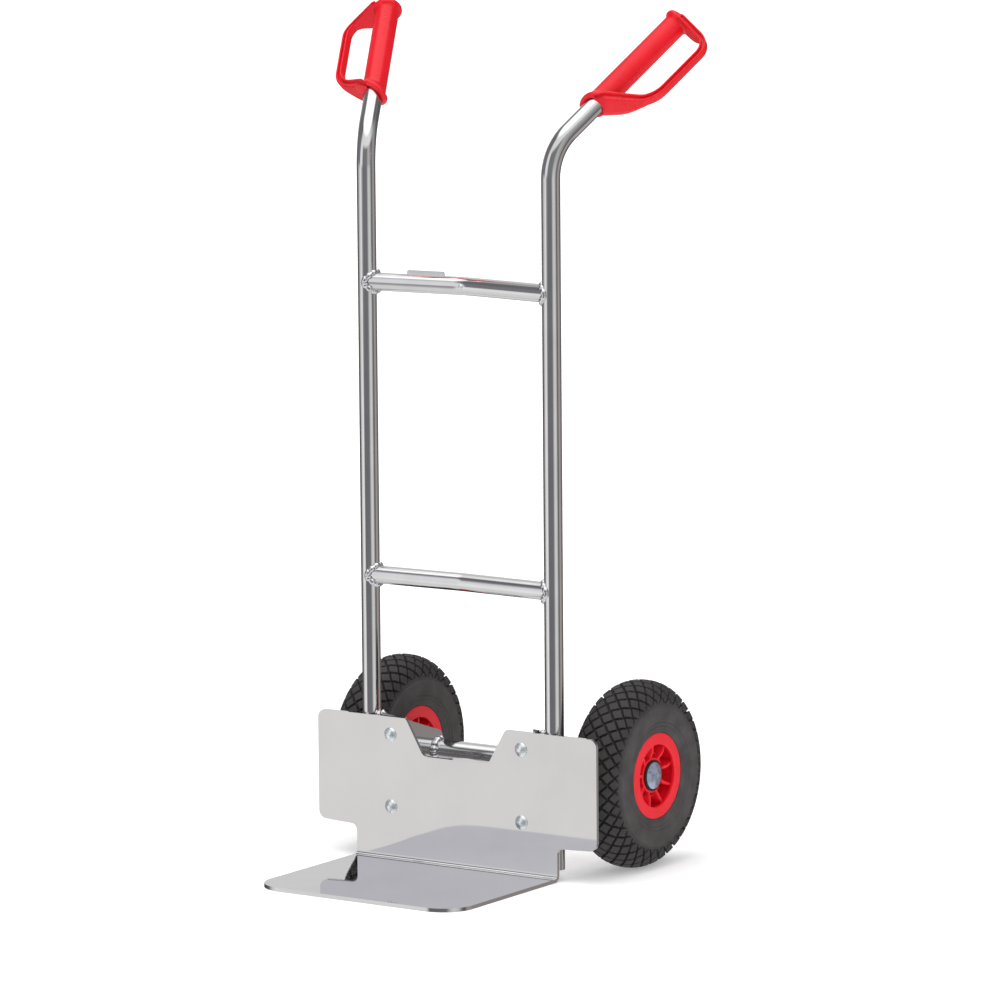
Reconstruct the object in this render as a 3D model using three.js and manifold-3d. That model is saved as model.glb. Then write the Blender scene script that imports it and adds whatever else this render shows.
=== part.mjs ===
// Two-wheeled hand truck: two bent tubes with D-guard grips, two crossbars, a folded toe plate,
// and a pair of foam-filled wheels on one axle. Millimetres, +Z up, toe plate towards -Y, wheels
// and handles towards +Y, +X to the right as seen from in front of the toe plate.
import * as THREE from "three";
import { mergeVertices } from "three/addons/utils/BufferGeometryUtils.js";
import Module from "manifold-3d";

const wasm = await Module();
wasm.setup();

// ---------------------------------------------------------------- driving dimensions

// Clearances between pieces
const seatGap = 0.2; // between two faces that are clamped or rest on each other
const weldGap = 0.3; // between a coped or welded edge and the tube it is welded to
const holeClearance = 0.4; // added to a screw's or rivet's radius for its hole
const runningClearance = 0.3; // added to the axle's radius for what turns on it

// Uprights: bent tubes that run from behind the toe plate to the grips
const uprightSpacing = 304; // centre to centre
const uprightRadius = 13;
const tubeWall = 2;
const uprightFoot = 14; // height of the cut lower ends
const handleCornerHeight = 998; // where the upright's axis and the handle's axis cross
const handleTilt = THREE.MathUtils.degToRad(51); // handle's axis from vertical
const handleSplay = THREE.MathUtils.degToRad(26); // handle's axis outwards from straight back
const handleBendRadius = 80;

// Crossbars: tubes bent backwards in the middle
const crossbarStep = 0.5; // how much less the crossbars' radius is than the uprights'
const crossbarBendRadius = 120;
const upperCrossbarHeight = 804;
const upperCrossbarSetback = 18;
const lowerCrossbarHeight = 397;
const lowerCrossbarSetback = 6;

// Toe plate: one sheet, cut to an outline and folded once
const plateThickness = 5;
const plateWidth = 463;
const plateTop = 203;
const plateCornerRadius = 12;
const earFoot = 46; // lower edge of the ears where they meet the narrow part
const earRise = 3; // how much higher that edge is at the ears' outer ends
const earInnerRadius = 9;
const foldInsideRadius = 5;
const toeWidth = 334;
const toeDepth = 250; // from the plate's front face to the toe's front edge
const toeCornerRadius = 45;
const notchMouthWidth = 166;
const notchFloorWidth = 108;
const notchFloor = 152.5;
const notchMouthRadius = 6;
const notchFloorRadius = 12;

// Bolts through the toe plate and the axle brackets
const boltToWeb = 19.8; // from the bolts to the bracket's web
const lowerBoltHeight = 77;
const upperBoltHeight = 178;
const boltRadius = 4;
const boltHeadRadius = 10;
const boltHeadHeight = 4.5;
const boltTail = 2.5; // how far the bolt stands out of its nut
const boltChamfer = 0.8;
const washerRadius = 8;
const washerThickness = 1.6;
const nutAcrossFlats = 13;
const nutHeight = 8;

// Axle brackets: bent sheet, flange bolted behind the plate, web carrying the axle tube
const bracketThickness = 5;
const bracketInsideRadius = 3;
const webWeldWidth = 5.5; // from the web's outer face to the upright
const flangeMargin = 20; // from the bolts to the flange's inboard edge
const flangeFoot = 52;
const flangeDrop = 8; // from the plate's upper edge to the flange's
const flangeCornerRadius = 8;
const webRise = 4.5; // how far the web's front corner stands above the plate
const webAboveAxle = 27; // from the axle's centre to the web's upper rear corner
const webBelowAxle = 26; // from the axle's centre to the web's lower rear corner
const webOverhang = 7; // from the axle's centre to the web's rear edge
const webCornerRadius = 12;
const weldHalfWidth = 5;

// Axle and its tube
const axleRadius = 10;
const axleChamfer = 1;
const axleBushWall = 2.4;
const axleBushLength = 20;
const axleBushFlange = 2;
const axleTubeWall = 3;
const spacerThickness = 3;
const spacerLip = 1; // how far the spacer's edge stands out past the axle tube

// Wheels
const tyreToUpright = 6.5; // from the uprights' middle line to the tyre's side
const tyreToPlate = 14; // from the plate's back to the tyre's tread
const tyreRadius = 130;
const tyreHalfWidth = 40.5;
const tyreShoulderPower = 2.25; // 2 is an ellipse, more is squarer
const tyreWidestRadius = 85;
const tyreWallSag = 0.33; // where the flat sidewall breaks, as a share of its height
const rimFaceOffset = 34.6; // from the wheel's middle plane to each face of the rim
const rimLipRadius = 59.5;
const rimLipWidth = 4;
const rimBeadRun = 1.6; // across the slope between the lip and the seat
const rimSeatRadius = 52;
const rimBarrelWall = 4.5;
const rimFaceInnerRadius = 43.5;
const rimFaceThickness = 5;
const rimDiscThickness = 6;
const hubHalfLength = 26.3;
const hubWall = 9.2;
const bearingWall = 4.8;
const ribCount = 9;
const ribThickness = 3.5;
const ribHalfWidth = 25;
const collarRadius = 33;
const collarWall = 3;
const collarHalfWidth = 21;
const endRingRadius = 21.5;
const endRingFlange = 2.3;
const endRingSpigot = 8;
const bearingFit = 0.2; // between the hub's bore and what is pressed into it
const capRadius = 18.5;
const capEdge = 0.8;
const capHeight = 6;
const capWall = 3;

// Grips: a blind sleeve with a slanted collar and a D-shaped guard outboard of it
const gripStart = 91; // along the handle, from the crossing of the axes
const gripLength = 174;
const gripWall = 3.15;
const gripBoreFit = 0.35; // between the handle tube and the grip's bore
const gripEndWall = 8;
const gripEndGap = 2; // from the tube's upper end to the bottom of the grip's bore
const gripRingRise = 4; // how far the collar and the end cap stand out of the sleeve
const gripRingRounding = 3;
const gripCollarLength = 9;
const gripCollarRun = 4; // along the slope from the collar to the sleeve
const gripCollarSlant = THREE.MathUtils.degToRad(19); // lower on the side away from the guard
const gripCollarLean = THREE.MathUtils.degToRad(24); // higher on the upper side of the sleeve
const gripCapLength = 10;
const gripCapRun = 2;
const gripCapCrown = 4; // height of the cap's conical crown
const gripCapCrownShare = 0.6; // its smaller radius, as a share of the cap's
const guardRoll = THREE.MathUtils.degToRad(-27); // guard's turn below level, about the handle
const guardReach = 69.3; // from the handle's axis to the guard's outer face
const guardThickness = 9;
const guardFullWidth = 40; // across the band at the sleeve
const guardWidth = 12.6; // across the band at its outboard run
const guardWaist = [0.38, 0.25]; // band's half width at thirds of the taper, as shares of the full width
const guardTaperRun = 16; // from the guard's outer face to where the taper ends
const guardFoot = { outer: 5, inner: 16 }; // along the sleeve, where each face leaves the collar
const guardBend = { outer: 49, outerRadius: 45, inner: 55, innerRadius: 36 };
const guardShoulder = { outer: 8, outerRadius: 28, inner: 16, innerRadius: 20 }; // from the cap's end
const guardHead = { outer: 0, inner: 8.5 }; // from the cap's end, where each face meets the sleeve

// Blank rating plate and rivets on the upper crossbar
const dataPlateWidth = 58;
const dataPlateHeight = 30.5;
const dataPlateLift = 1.3; // its centre above the crossbar's axis
const dataPlateThickness = 1.5;
const dataPlateCornerRadius = 3;
const dataPlateOffset = 70; // from the truck's middle plane to the plate's centre
const dataPlateRivetInset = 8;
const rivetRadius = 1.6;
const rivetHeadRadius = 4;
const rivetHeadHeight = 2;
const rivetLength = 6;

// Facets
const arcStep = THREE.MathUtils.degToRad(22.5); // most angle per facet of a rounded corner
const tyreFacets = 40;
const rimFacets = 24;
const tubeFacets = 20;
const smallFacets = 12;
const bendSteps = { upright: 6, crossbar: 4 };
const domeSteps = 4;
const shoulderSteps = 5;

// ---------------------------------------------------------------- derived places

const uprightX = uprightSpacing / 2;
const plateBack = -uprightRadius;
const plateFront = plateBack - plateThickness;
const flangeBack = plateBack + bracketThickness;
const crossbarRadius = uprightRadius - crossbarStep;
const webOuter = uprightX - uprightRadius - webWeldWidth;
const webInner = webOuter - bracketThickness;
const boltX = webInner - boltToWeb;
const flangeTop = plateTop - flangeDrop;
const webTopFront = plateTop + webRise;
const wheelOffset = uprightX + tyreToUpright + tyreHalfWidth;
const axleHeight = tyreRadius;
const axleSetback = tyreRadius + plateBack + tyreToPlate;
const axleBore = axleRadius + runningClearance;
const axleTubeBoreRadius = axleBore + axleBushWall + weldGap;
const axleTubeRadius = axleTubeBoreRadius + axleTubeWall;
const spacerRadius = axleTubeRadius + spacerLip;
const hubBoreRadius = axleBore + bearingWall + bearingFit;
const hubRadius = hubBoreRadius + hubWall;
const hubInnerEnd = wheelOffset - hubHalfLength;
const hubOuterEnd = wheelOffset + hubHalfLength;
const spacerOuterFace = hubInnerEnd - 2 * seatGap - endRingFlange;
const spacerInnerFace = spacerOuterFace - spacerThickness;
const bushOuterFace = spacerInnerFace - seatGap;
const axleTubeEnd = bushOuterFace - axleBushFlange - seatGap;
const capInnerFace = hubOuterEnd + 2 * seatGap + endRingFlange;
const axleEnd = capInnerFace + capHeight - capWall - seatGap;
const handleLength = gripStart + gripLength - gripEndWall - gripEndGap;
const gripBoreRadius = uprightRadius + gripBoreFit;
const gripRadius = gripBoreRadius + gripWall;
const gripRingRadius = gripRadius + gripRingRise;

// ---------------------------------------------------------------- materials

const plain = (color, roughness, metalness) =>
  new THREE.MeshStandardMaterial({ color, roughness, metalness });

const anodisedTube = plain("#c9c9cb", 0.22, 1);
const anodisedSheet = plain("#d1cfcd", 0.3, 1);
const zincPlate = plain("#b9c0c6", 0.3, 1);
const brightSteel = plain("#a9abad", 0.3, 1);
const redPlastic = plain("#f4343f", 0.4, 0);
const rimPlastic = plain("#e8323c", 0.45, 0);
const blackRubber = plain("#3c3a3a", 0.8, 0);
const blackNylon = plain("#1d1d1f", 0.5, 0);
const palePlate = plain("#e3e5e8", 0.4, 0.6);

// ---------------------------------------------------------------- outlines and solids

/** Corners [x, y, radius] turned into points, with an arc tangent to both sides at each radius. */
function rounded(corners) {
  const points = [];
  corners.forEach(([x, y, radius = 0], i) => {
    const corner = new THREE.Vector2(x, y);
    if (!radius) {
      points.push(corner);
      return;
    }
    const before = corners[(i + corners.length - 1) % corners.length];
    const after = corners[(i + 1) % corners.length];
    const toBefore = new THREE.Vector2(before[0], before[1]).sub(corner).normalize();
    const toAfter = new THREE.Vector2(after[0], after[1]).sub(corner).normalize();
    const half = Math.acos(THREE.MathUtils.clamp(toBefore.dot(toAfter), -1, 1)) / 2;
    const start = corner.clone().addScaledVector(toBefore, radius / Math.tan(half));
    const middle = toBefore.clone().add(toAfter).normalize();
    const centre = corner.clone().addScaledVector(middle, radius / Math.sin(half));
    const turn = Math.PI - 2 * half;
    const steps = Math.max(2, Math.ceil(turn / arcStep));
    const sense = Math.sign(toAfter.cross(toBefore)) || 1;
    for (let k = 0; k <= steps; k++) {
      points.push(start.clone().rotateAround(centre, (sense * turn * k) / steps));
    }
  });
  return points;
}

const outline = (corners) => new THREE.Shape(rounded(corners));

/** A circle as a polygon of points. */
function circle(radius, facets, x = 0, y = 0) {
  return Array.from({ length: facets }, (_, i) => {
    const angle = (2 * Math.PI * i) / facets;
    return new THREE.Vector2(x + radius * Math.cos(angle), y + radius * Math.sin(angle));
  });
}

const disc = (radius, facets, x, y) => new THREE.Shape(circle(radius, facets, x, y));

const axisX = new THREE.Vector3(1, 0, 0);
const axisY = new THREE.Vector3(0, 1, 0);
const axisZ = new THREE.Vector3(0, 0, 1);

/** A shape drawn in X and Y, extruded upwards. */
function prismZ(shape, from, to) {
  const made = new THREE.ExtrudeGeometry(shape, { depth: to - from, bevelEnabled: false });
  return made.translate(0, 0, from);
}

/** A shape drawn in Y and Z, extruded along X. */
function prismX(shape, from, to) {
  const basis = new THREE.Matrix4().makeBasis(axisY, axisZ, axisX);
  return prismZ(shape, from, to).applyMatrix4(basis);
}

/** A shape drawn in X and Z, extruded along Y. */
function prismY(shape, from, to) {
  const basis = new THREE.Matrix4().makeBasis(axisX, axisZ, axisY.clone().negate());
  return prismZ(shape, -to, -from).applyMatrix4(basis);
}

/** Corners [along, radius, rounding] turned about an axis; a profile off the axis closes into a ring. */
function turned(corners, facets) {
  const points = rounded(corners).map((p) => new THREE.Vector2(p.y, p.x));
  if (corners[0][1] > 0) points.push(points[0].clone());
  return new THREE.LatheGeometry(points, facets);
}

/** The same turned about X, with a vertex straight below the axis. */
function turnedX(corners, facets) {
  const basis = new THREE.Matrix4().makeBasis(axisY, axisX, axisZ.clone().negate());
  return turned(corners, facets).applyMatrix4(basis);
}

const turnedY = turned;

/** The cap of a sphere as [depth below its crown, radius] from the crown to its edge. */
function dome(radius, height, steps) {
  const sphere = (radius ** 2 + height ** 2) / (2 * height);
  return Array.from({ length: steps + 1 }, (_, i) => {
    const angle = (Math.asin(radius / sphere) * i) / steps;
    return [sphere * (1 - Math.cos(angle)), sphere * Math.sin(angle)];
  });
}

/** A ring or sleeve about X. */
function sleeveX(from, to, outer, inner, facets) {
  return turnedX(
    [
      [from, inner],
      [from, outer],
      [to, outer],
      [to, inner],
    ],
    facets,
  );
}

/** A closed geometry as a solid that can be joined and cut. */
function solid(geometry) {
  const bare = geometry.clone();
  bare.deleteAttribute("normal");
  bare.deleteAttribute("uv");
  const merged = mergeVertices(bare, 1e-4);
  const mesh = new wasm.Mesh({
    numProp: 3,
    vertProperties: merged.getAttribute("position").array,
    triVerts: new Uint32Array(merged.index.array),
  });
  return new wasm.Manifold(mesh);
}

/** A solid's faces as a geometry. */
function faces(made) {
  const mesh = made.getMesh();
  const geometry = new THREE.BufferGeometry();
  geometry.setAttribute("position", new THREE.BufferAttribute(mesh.vertProperties, 3));
  geometry.setIndex(new THREE.BufferAttribute(mesh.triVerts, 1));
  geometry.computeVertexNormals();
  return geometry;
}

const joined = (first, ...others) =>
  faces(others.reduce((sum, next) => sum.add(solid(next)), solid(first)));

const cut = (first, ...others) =>
  faces(others.reduce((rest, next) => rest.subtract(solid(next)), solid(first)));

const common = (first, ...others) =>
  faces(others.reduce((rest, next) => rest.intersect(solid(next)), solid(first)));

/** A path of straight runs joined by bends, with stations only where the tube changes direction. */
class BentPath extends THREE.Curve {
  constructor(corners, radius, stepsPerBend) {
    super();
    this.points = [];
    this.tangents = [];
    corners.forEach((corner, i) => {
      const arriving = i > 0 && corner.clone().sub(corners[i - 1]).normalize();
      const leaving = i < corners.length - 1 && corners[i + 1].clone().sub(corner).normalize();
      if (!arriving || !leaving) {
        this.add(corner.clone(), arriving || leaving);
        return;
      }
      const turn = arriving.angleTo(leaving);
      const reach = radius * Math.tan(turn / 2);
      const start = corner.clone().addScaledVector(arriving, -reach);
      const inward = leaving.clone().addScaledVector(arriving, -leaving.dot(arriving)).normalize();
      for (let k = 0; k <= stepsPerBend; k++) {
        const angle = (turn * k) / stepsPerBend;
        const point = start
          .clone()
          .addScaledVector(arriving, radius * Math.sin(angle))
          .addScaledVector(inward, radius * (1 - Math.cos(angle)));
        const tangent = arriving
          .clone()
          .multiplyScalar(Math.cos(angle))
          .addScaledVector(inward, Math.sin(angle));
        this.add(point, tangent);
      }
    });
    this.runs = this.points.length - 1;
  }

  add(point, tangent) {
    this.points.push(point);
    this.tangents.push(tangent);
  }

  getPointAt(u, target = new THREE.Vector3()) {
    return target.copy(this.points[Math.round(u * this.runs)]);
  }

  getTangentAt(u, target = new THREE.Vector3()) {
    return target.copy(this.tangents[Math.round(u * this.runs)]);
  }
}

/** An open-ended tube along a bent path. */
function tube(path, radius) {
  const section = disc(radius, tubeFacets);
  section.holes.push(new THREE.Path(circle(radius - tubeWall, tubeFacets)));
  return new THREE.ExtrudeGeometry(section, { steps: path.runs, extrudePath: path });
}

// ---------------------------------------------------------------- scene graph

const truck = new THREE.Group();
const rightSide = new THREE.Group();
const leftSide = new THREE.Group();
leftSide.scale.x = -1;
truck.add(rightSide, leftSide);

function add(parent, name, geometry, material) {
  const mesh = new THREE.Mesh(geometry, material);
  mesh.name = name;
  parent.add(mesh);
  return mesh;
}

/** The same piece on both sides of the truck: built on the +X side, mirrored on the other. */
function addPair(name, geometry, material, place = () => {}) {
  place(add(rightSide, "right_" + name, geometry, material));
  place(add(leftSide, "left_" + name, geometry, material));
}

// ---------------------------------------------------------------- uprights

const handleDirection = new THREE.Vector3(
  Math.sin(handleTilt) * Math.sin(handleSplay),
  Math.sin(handleTilt) * Math.cos(handleSplay),
  Math.cos(handleTilt),
);
const handleCorner = new THREE.Vector3(uprightX, 0, handleCornerHeight);

const alongHandle = (distance) => handleCorner.clone().addScaledVector(handleDirection, distance);

const uprightPath = new BentPath(
  [new THREE.Vector3(uprightX, 0, uprightFoot), handleCorner, alongHandle(handleLength)],
  handleBendRadius,
  bendSteps.upright,
);
addPair("upright", tube(uprightPath, uprightRadius), anodisedTube);

// ---------------------------------------------------------------- crossbars

/** A hole for a rivet, drilled along Y. */
const rivetHole = (x, z, from, to) =>
  prismY(disc(rivetRadius + holeClearance, smallFacets, x, z), from, to);

/** A tube from upright to upright, coped to both. */
function crossbar(height, setback, holes) {
  const path = new BentPath(
    [
      new THREE.Vector3(-uprightX, 0, height),
      new THREE.Vector3(0, setback, height),
      new THREE.Vector3(uprightX, 0, height),
    ],
    crossbarBendRadius,
    bendSteps.crossbar,
  );
  const copes = [-uprightX, uprightX].map((x) =>
    prismZ(
      disc(uprightRadius + weldGap, tubeFacets, x, 0),
      height - 2 * crossbarRadius,
      height + 2 * crossbarRadius,
    ),
  );
  return cut(tube(path, crossbarRadius), ...copes, ...holes);
}

const dataPlateTurn = Math.atan2(upperCrossbarSetback, uprightX);
const behindBar = crossbarRadius / Math.cos(dataPlateTurn);
const barAxisY = (x) => upperCrossbarSetback * (1 - Math.abs(x) / uprightX);
const plateRivetXs = [1, -1].map(
  (sign) => -dataPlateOffset + sign * (dataPlateWidth / 2 - dataPlateRivetInset),
);
const bendRelief = crossbarBendRadius * (1 / Math.cos(dataPlateTurn) - 1);
const barFront = upperCrossbarSetback - bendRelief - crossbarRadius;

add(
  truck,
  "upper_crossbar",
  crossbar(upperCrossbarHeight, upperCrossbarSetback, [
    rivetHole(0, upperCrossbarHeight, barFront - crossbarRadius, barFront + crossbarRadius),
    ...plateRivetXs.map((x) =>
      rivetHole(x, upperCrossbarHeight, barAxisY(x), barAxisY(x) + 2 * crossbarRadius),
    ),
  ]),
  anodisedTube,
);
add(
  truck,
  "lower_crossbar",
  crossbar(lowerCrossbarHeight, lowerCrossbarSetback, []),
  anodisedTube,
);

// ---------------------------------------------------------------- rating plate and rivets

/** A blind rivet about Y, its head towards -Y and its seat at y = 0. */
const rivet = turnedY(
  [
    ...dome(rivetHeadRadius, rivetHeadHeight, domeSteps).map(([depth, radius]) => [
      depth - rivetHeadHeight,
      radius,
    ]),
    [0, rivetRadius],
    [rivetLength, rivetRadius],
    [rivetLength, 0],
  ],
  smallFacets,
);
const middleRivet = add(truck, "crossbar_rivet", rivet, zincPlate);
middleRivet.position.set(0, barFront - seatGap, upperCrossbarHeight);

const dataPlateShape = outline(
  [
    [-dataPlateWidth / 2, -dataPlateHeight / 2],
    [dataPlateWidth / 2, -dataPlateHeight / 2],
    [dataPlateWidth / 2, dataPlateHeight / 2],
    [-dataPlateWidth / 2, dataPlateHeight / 2],
  ].map(([x, z]) => [x, z, dataPlateCornerRadius]),
);
const plateRivetSpan = dataPlateWidth / 2 - dataPlateRivetInset;
dataPlateShape.holes.push(
  ...[-plateRivetSpan, plateRivetSpan].map(
    (x) => new THREE.Path(circle(rivetRadius + holeClearance, smallFacets, x, -dataPlateLift)),
  ),
);
const dataPlateMount = new THREE.Group();
dataPlateMount.rotation.z = dataPlateTurn;
dataPlateMount.position.set(
  -dataPlateOffset,
  barAxisY(dataPlateOffset) + behindBar + weldGap,
  upperCrossbarHeight,
);
truck.add(dataPlateMount);
const dataPlate = add(
  dataPlateMount,
  "data_plate",
  prismY(dataPlateShape, 0, dataPlateThickness),
  palePlate,
);
dataPlate.position.z = dataPlateLift;
["left", "right"].forEach((side, i) => {
  const pin = add(dataPlateMount, "data_plate_" + side + "_rivet", rivet, zincPlate);
  pin.rotation.z = Math.PI;
  pin.position.set([-plateRivetSpan, plateRivetSpan][i], dataPlateThickness + weldGap, 0);
});

// ---------------------------------------------------------------- toe plate

/** The folded sheet seen from the side, as an outline in Y and Z. */
const foldedSheet = outline([
  [plateFront - toeDepth, 0],
  [plateBack, 0, foldInsideRadius + plateThickness],
  [plateBack, plateTop],
  [plateFront, plateTop],
  [plateFront, plateThickness, foldInsideRadius],
  [plateFront - toeDepth, plateThickness],
]);

/** A half outline on the +X side, from bottom to top, completed by its mirror image. */
const bothSides = (half) => [...half, ...half.map(([x, y, radius]) => [-x, y, radius]).reverse()];

const plateFace = outline(
  bothSides([
    [toeWidth / 2, -plateThickness],
    [toeWidth / 2, earFoot, earInnerRadius],
    [plateWidth / 2, earFoot + earRise, plateCornerRadius],
    [plateWidth / 2, plateTop, plateCornerRadius],
    [notchMouthWidth / 2, plateTop, notchMouthRadius],
    [notchFloorWidth / 2, notchFloor, notchFloorRadius],
  ]),
);
const toeShoulder = plateFront - 1;
const toeAndPlatePlan = outline(
  bothSides([
    [toeWidth / 2, plateFront - toeDepth, toeCornerRadius],
    [toeWidth / 2, toeShoulder],
    [plateWidth / 2 + 1, toeShoulder],
    [plateWidth / 2 + 1, 1],
  ]),
);

const boltPlaces = [
  ["lower", lowerBoltHeight],
  ["upper", upperBoltHeight],
];
const boltHoles = (from, to, sides) =>
  sides.flatMap((side) =>
    boltPlaces.map(([, height]) =>
      prismY(disc(boltRadius + holeClearance, smallFacets, side * boltX, height), from, to),
    ),
  );

const toePlateBlank = common(
  prismX(foldedSheet, -plateWidth / 2, plateWidth / 2),
  prismY(plateFace, plateFront - toeDepth - 1, 1),
  prismZ(toeAndPlatePlan, -1, plateTop + 1),
);
add(
  truck,
  "toe_plate",
  cut(toePlateBlank, ...boltHoles(plateFront - 1, plateBack + 1, [-1, 1])),
  anodisedSheet,
);

// ---------------------------------------------------------------- axle brackets

const flangeEdge = boltX - flangeMargin;
const webRear = axleSetback + webOverhang;
const webTopRear = axleHeight + webAboveAxle;
const webSlope = (webTopFront - webTopRear) / (webRear - plateBack);

/** Flange and web seen from above, as an outline in X and Y. */
const bracketPlan = outline([
  [flangeEdge, plateBack],
  [webOuter, plateBack, bracketInsideRadius + bracketThickness],
  [webOuter, webRear],
  [webInner, webRear],
  [webInner, flangeBack, bracketInsideRadius],
  [flangeEdge, flangeBack],
]);
/** Seen from the front, as an outline in X and Z. */
const bracketFront = outline([
  [flangeEdge, flangeFoot, flangeCornerRadius],
  [webOuter + 1, flangeFoot],
  [webOuter + 1, webTopFront + 1],
  [webInner - bracketInsideRadius, webTopFront + 1],
  [webInner - bracketInsideRadius, flangeTop],
  [flangeEdge, flangeTop, flangeCornerRadius],
]);
/** Seen from the side, as an outline in Y and Z. */
const bracketSide = outline([
  [plateBack - 1, flangeFoot],
  [flangeBack, flangeFoot],
  [webRear, axleHeight - webBelowAxle, webCornerRadius],
  [webRear, webTopRear, webCornerRadius],
  [plateBack - 1, webTopFront + webSlope],
]);
const bracketSheet = common(
  prismZ(bracketPlan, flangeFoot - 1, webTopFront + 1),
  prismY(bracketFront, plateBack - 1, webRear + 1),
  prismX(bracketSide, flangeEdge - 1, webOuter + 1),
);
const bracketWeld = prismZ(
  outline([
    [webOuter - 1, -weldHalfWidth],
    [uprightX - uprightRadius + 1, -weldHalfWidth],
    [uprightX - uprightRadius + 1, weldHalfWidth],
    [webOuter - 1, weldHalfWidth],
  ]),
  flangeFoot + flangeCornerRadius,
  flangeTop,
);
addPair(
  "axle_bracket",
  cut(
    joined(bracketSheet, bracketWeld),
    prismZ(disc(uprightRadius + weldGap, tubeFacets, uprightX, 0), 0, plateTop + 1),
    prismX(
      disc(axleTubeRadius + weldGap, tubeFacets, axleSetback, axleHeight),
      webInner - 1,
      webOuter + 1,
    ),
    ...boltHoles(plateBack - 1, flangeBack + 1, [1]),
  ),
  anodisedSheet,
);

// ---------------------------------------------------------------- bolts, washers and lock nuts

const washerFace = flangeBack + seatGap;
const nutFace = washerFace + washerThickness + seatGap;
const boltEnd = nutFace + nutHeight + boltTail;
const headFace = plateFront - seatGap;

/** A domed head and a plain shank about Y. */
const bolt = turnedY(
  [
    ...dome(boltHeadRadius, boltHeadHeight, domeSteps).map(([depth, radius]) => [
      headFace - boltHeadHeight + depth,
      radius,
    ]),
    [headFace, boltRadius],
    [boltEnd - boltChamfer, boltRadius],
    [boltEnd, boltRadius - boltChamfer],
    [boltEnd, 0],
  ],
  smallFacets,
);
const washer = turnedY(
  [
    [washerFace, boltRadius + holeClearance],
    [washerFace, washerRadius],
    [washerFace + washerThickness, washerRadius],
    [washerFace + washerThickness, boltRadius + holeClearance],
  ],
  smallFacets,
);
const hexagon = disc(nutAcrossFlats / 2 / Math.cos(Math.PI / 6), 6);
hexagon.holes.push(new THREE.Path(circle(boltRadius + seatGap, smallFacets)));
const nut = prismY(hexagon, nutFace, nutFace + nutHeight);

boltPlaces.forEach(([level, height]) => {
  const place = (mesh) => mesh.position.set(boltX, 0, height);
  addPair(level + "_bolt", bolt, zincPlate, place);
  addPair(level + "_washer", washer, zincPlate, place);
  addPair(level + "_lock_nut", nut, zincPlate, place);
});

// ---------------------------------------------------------------- axle, axle tube and what sits on the axle

const axleLine = new THREE.Group();
axleLine.position.set(0, axleSetback, axleHeight);
truck.add(axleLine);
const onAxle = (mesh) => mesh.position.set(0, axleSetback, axleHeight);

add(
  axleLine,
  "axle_tube",
  sleeveX(-axleTubeEnd, axleTubeEnd, axleTubeRadius, axleTubeBoreRadius, tubeFacets),
  anodisedTube,
);
add(
  axleLine,
  "axle",
  turnedX(
    [
      [-axleEnd, 0],
      [-axleEnd, axleRadius - axleChamfer],
      [-axleEnd + axleChamfer, axleRadius],
      [axleEnd - axleChamfer, axleRadius],
      [axleEnd, axleRadius - axleChamfer],
      [axleEnd, 0],
    ],
    tubeFacets,
  ),
  brightSteel,
);
/** A flanged nylon sleeve that centres the axle in each end of its tube. */
const bushTubeRadius = axleTubeBoreRadius - weldGap;
addPair(
  "axle_bush",
  turnedX(
    [
      [axleTubeEnd - axleBushLength, axleBore],
      [axleTubeEnd - axleBushLength, bushTubeRadius],
      [axleTubeEnd + seatGap, bushTubeRadius],
      [axleTubeEnd + seatGap, axleTubeRadius],
      [bushOuterFace, axleTubeRadius],
      [bushOuterFace, axleBore],
    ],
    tubeFacets,
  ),
  blackNylon,
  onAxle,
);
addPair(
  "spacer_washer",
  sleeveX(spacerInnerFace, spacerOuterFace, spacerRadius, axleBore, tubeFacets),
  zincPlate,
  onAxle,
);
/** A domed push-on cap over each end of the axle. */
addPair(
  "axle_cap",
  turnedX(
    [
      [capInnerFace + capHeight - capWall, 0],
      [capInnerFace + capHeight - capWall, axleBore],
      [capInnerFace, axleBore],
      [capInnerFace, capRadius],
      ...dome(capRadius, capHeight - capEdge, domeSteps)
        .map(([depth, radius]) => [capInnerFace + capHeight - depth, radius])
        .reverse(),
    ],
    tubeFacets,
  ),
  zincPlate,
  onAxle,
);

// ---------------------------------------------------------------- wheels

/** Half of the tyre's outside, from the crown to the rim's lip: a superellipse, then a flat sidewall. */
const between = (from, to, share) => from + (to - from) * share;
const tyreHalf = [
  ...Array.from({ length: shoulderSteps }, (_, i) => {
    const angle = (Math.PI / 2) * (1 - (i + 1) / shoulderSteps);
    const power = 2 / tyreShoulderPower;
    return [
      tyreHalfWidth * Math.cos(angle) ** power,
      between(tyreWidestRadius, tyreRadius, Math.sin(angle) ** power),
    ];
  }),
  [
    between(rimFaceOffset, tyreHalfWidth, 2 * tyreWallSag),
    between(rimLipRadius, tyreWidestRadius, tyreWallSag),
  ],
  [rimFaceOffset, rimLipRadius + weldGap],
];
const seatHalfWidth = rimFaceOffset - rimLipWidth - rimBeadRun;
const tyreSeatHalf = [
  [rimFaceOffset - rimLipWidth - weldGap, rimLipRadius + weldGap],
  [seatHalfWidth - weldGap, rimSeatRadius + weldGap],
];
const mirrored = (points) => points.map(([x, r]) => [-x, r]).reverse();
const tyre = turnedX(
  [...mirrored(tyreHalf), [0, tyreRadius], ...tyreHalf, ...tyreSeatHalf, ...mirrored(tyreSeatHalf)],
  tyreFacets,
);
addPair("tyre", tyre, blackRubber, (mesh) => mesh.position.set(wheelOffset, axleSetback, axleHeight));

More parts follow.
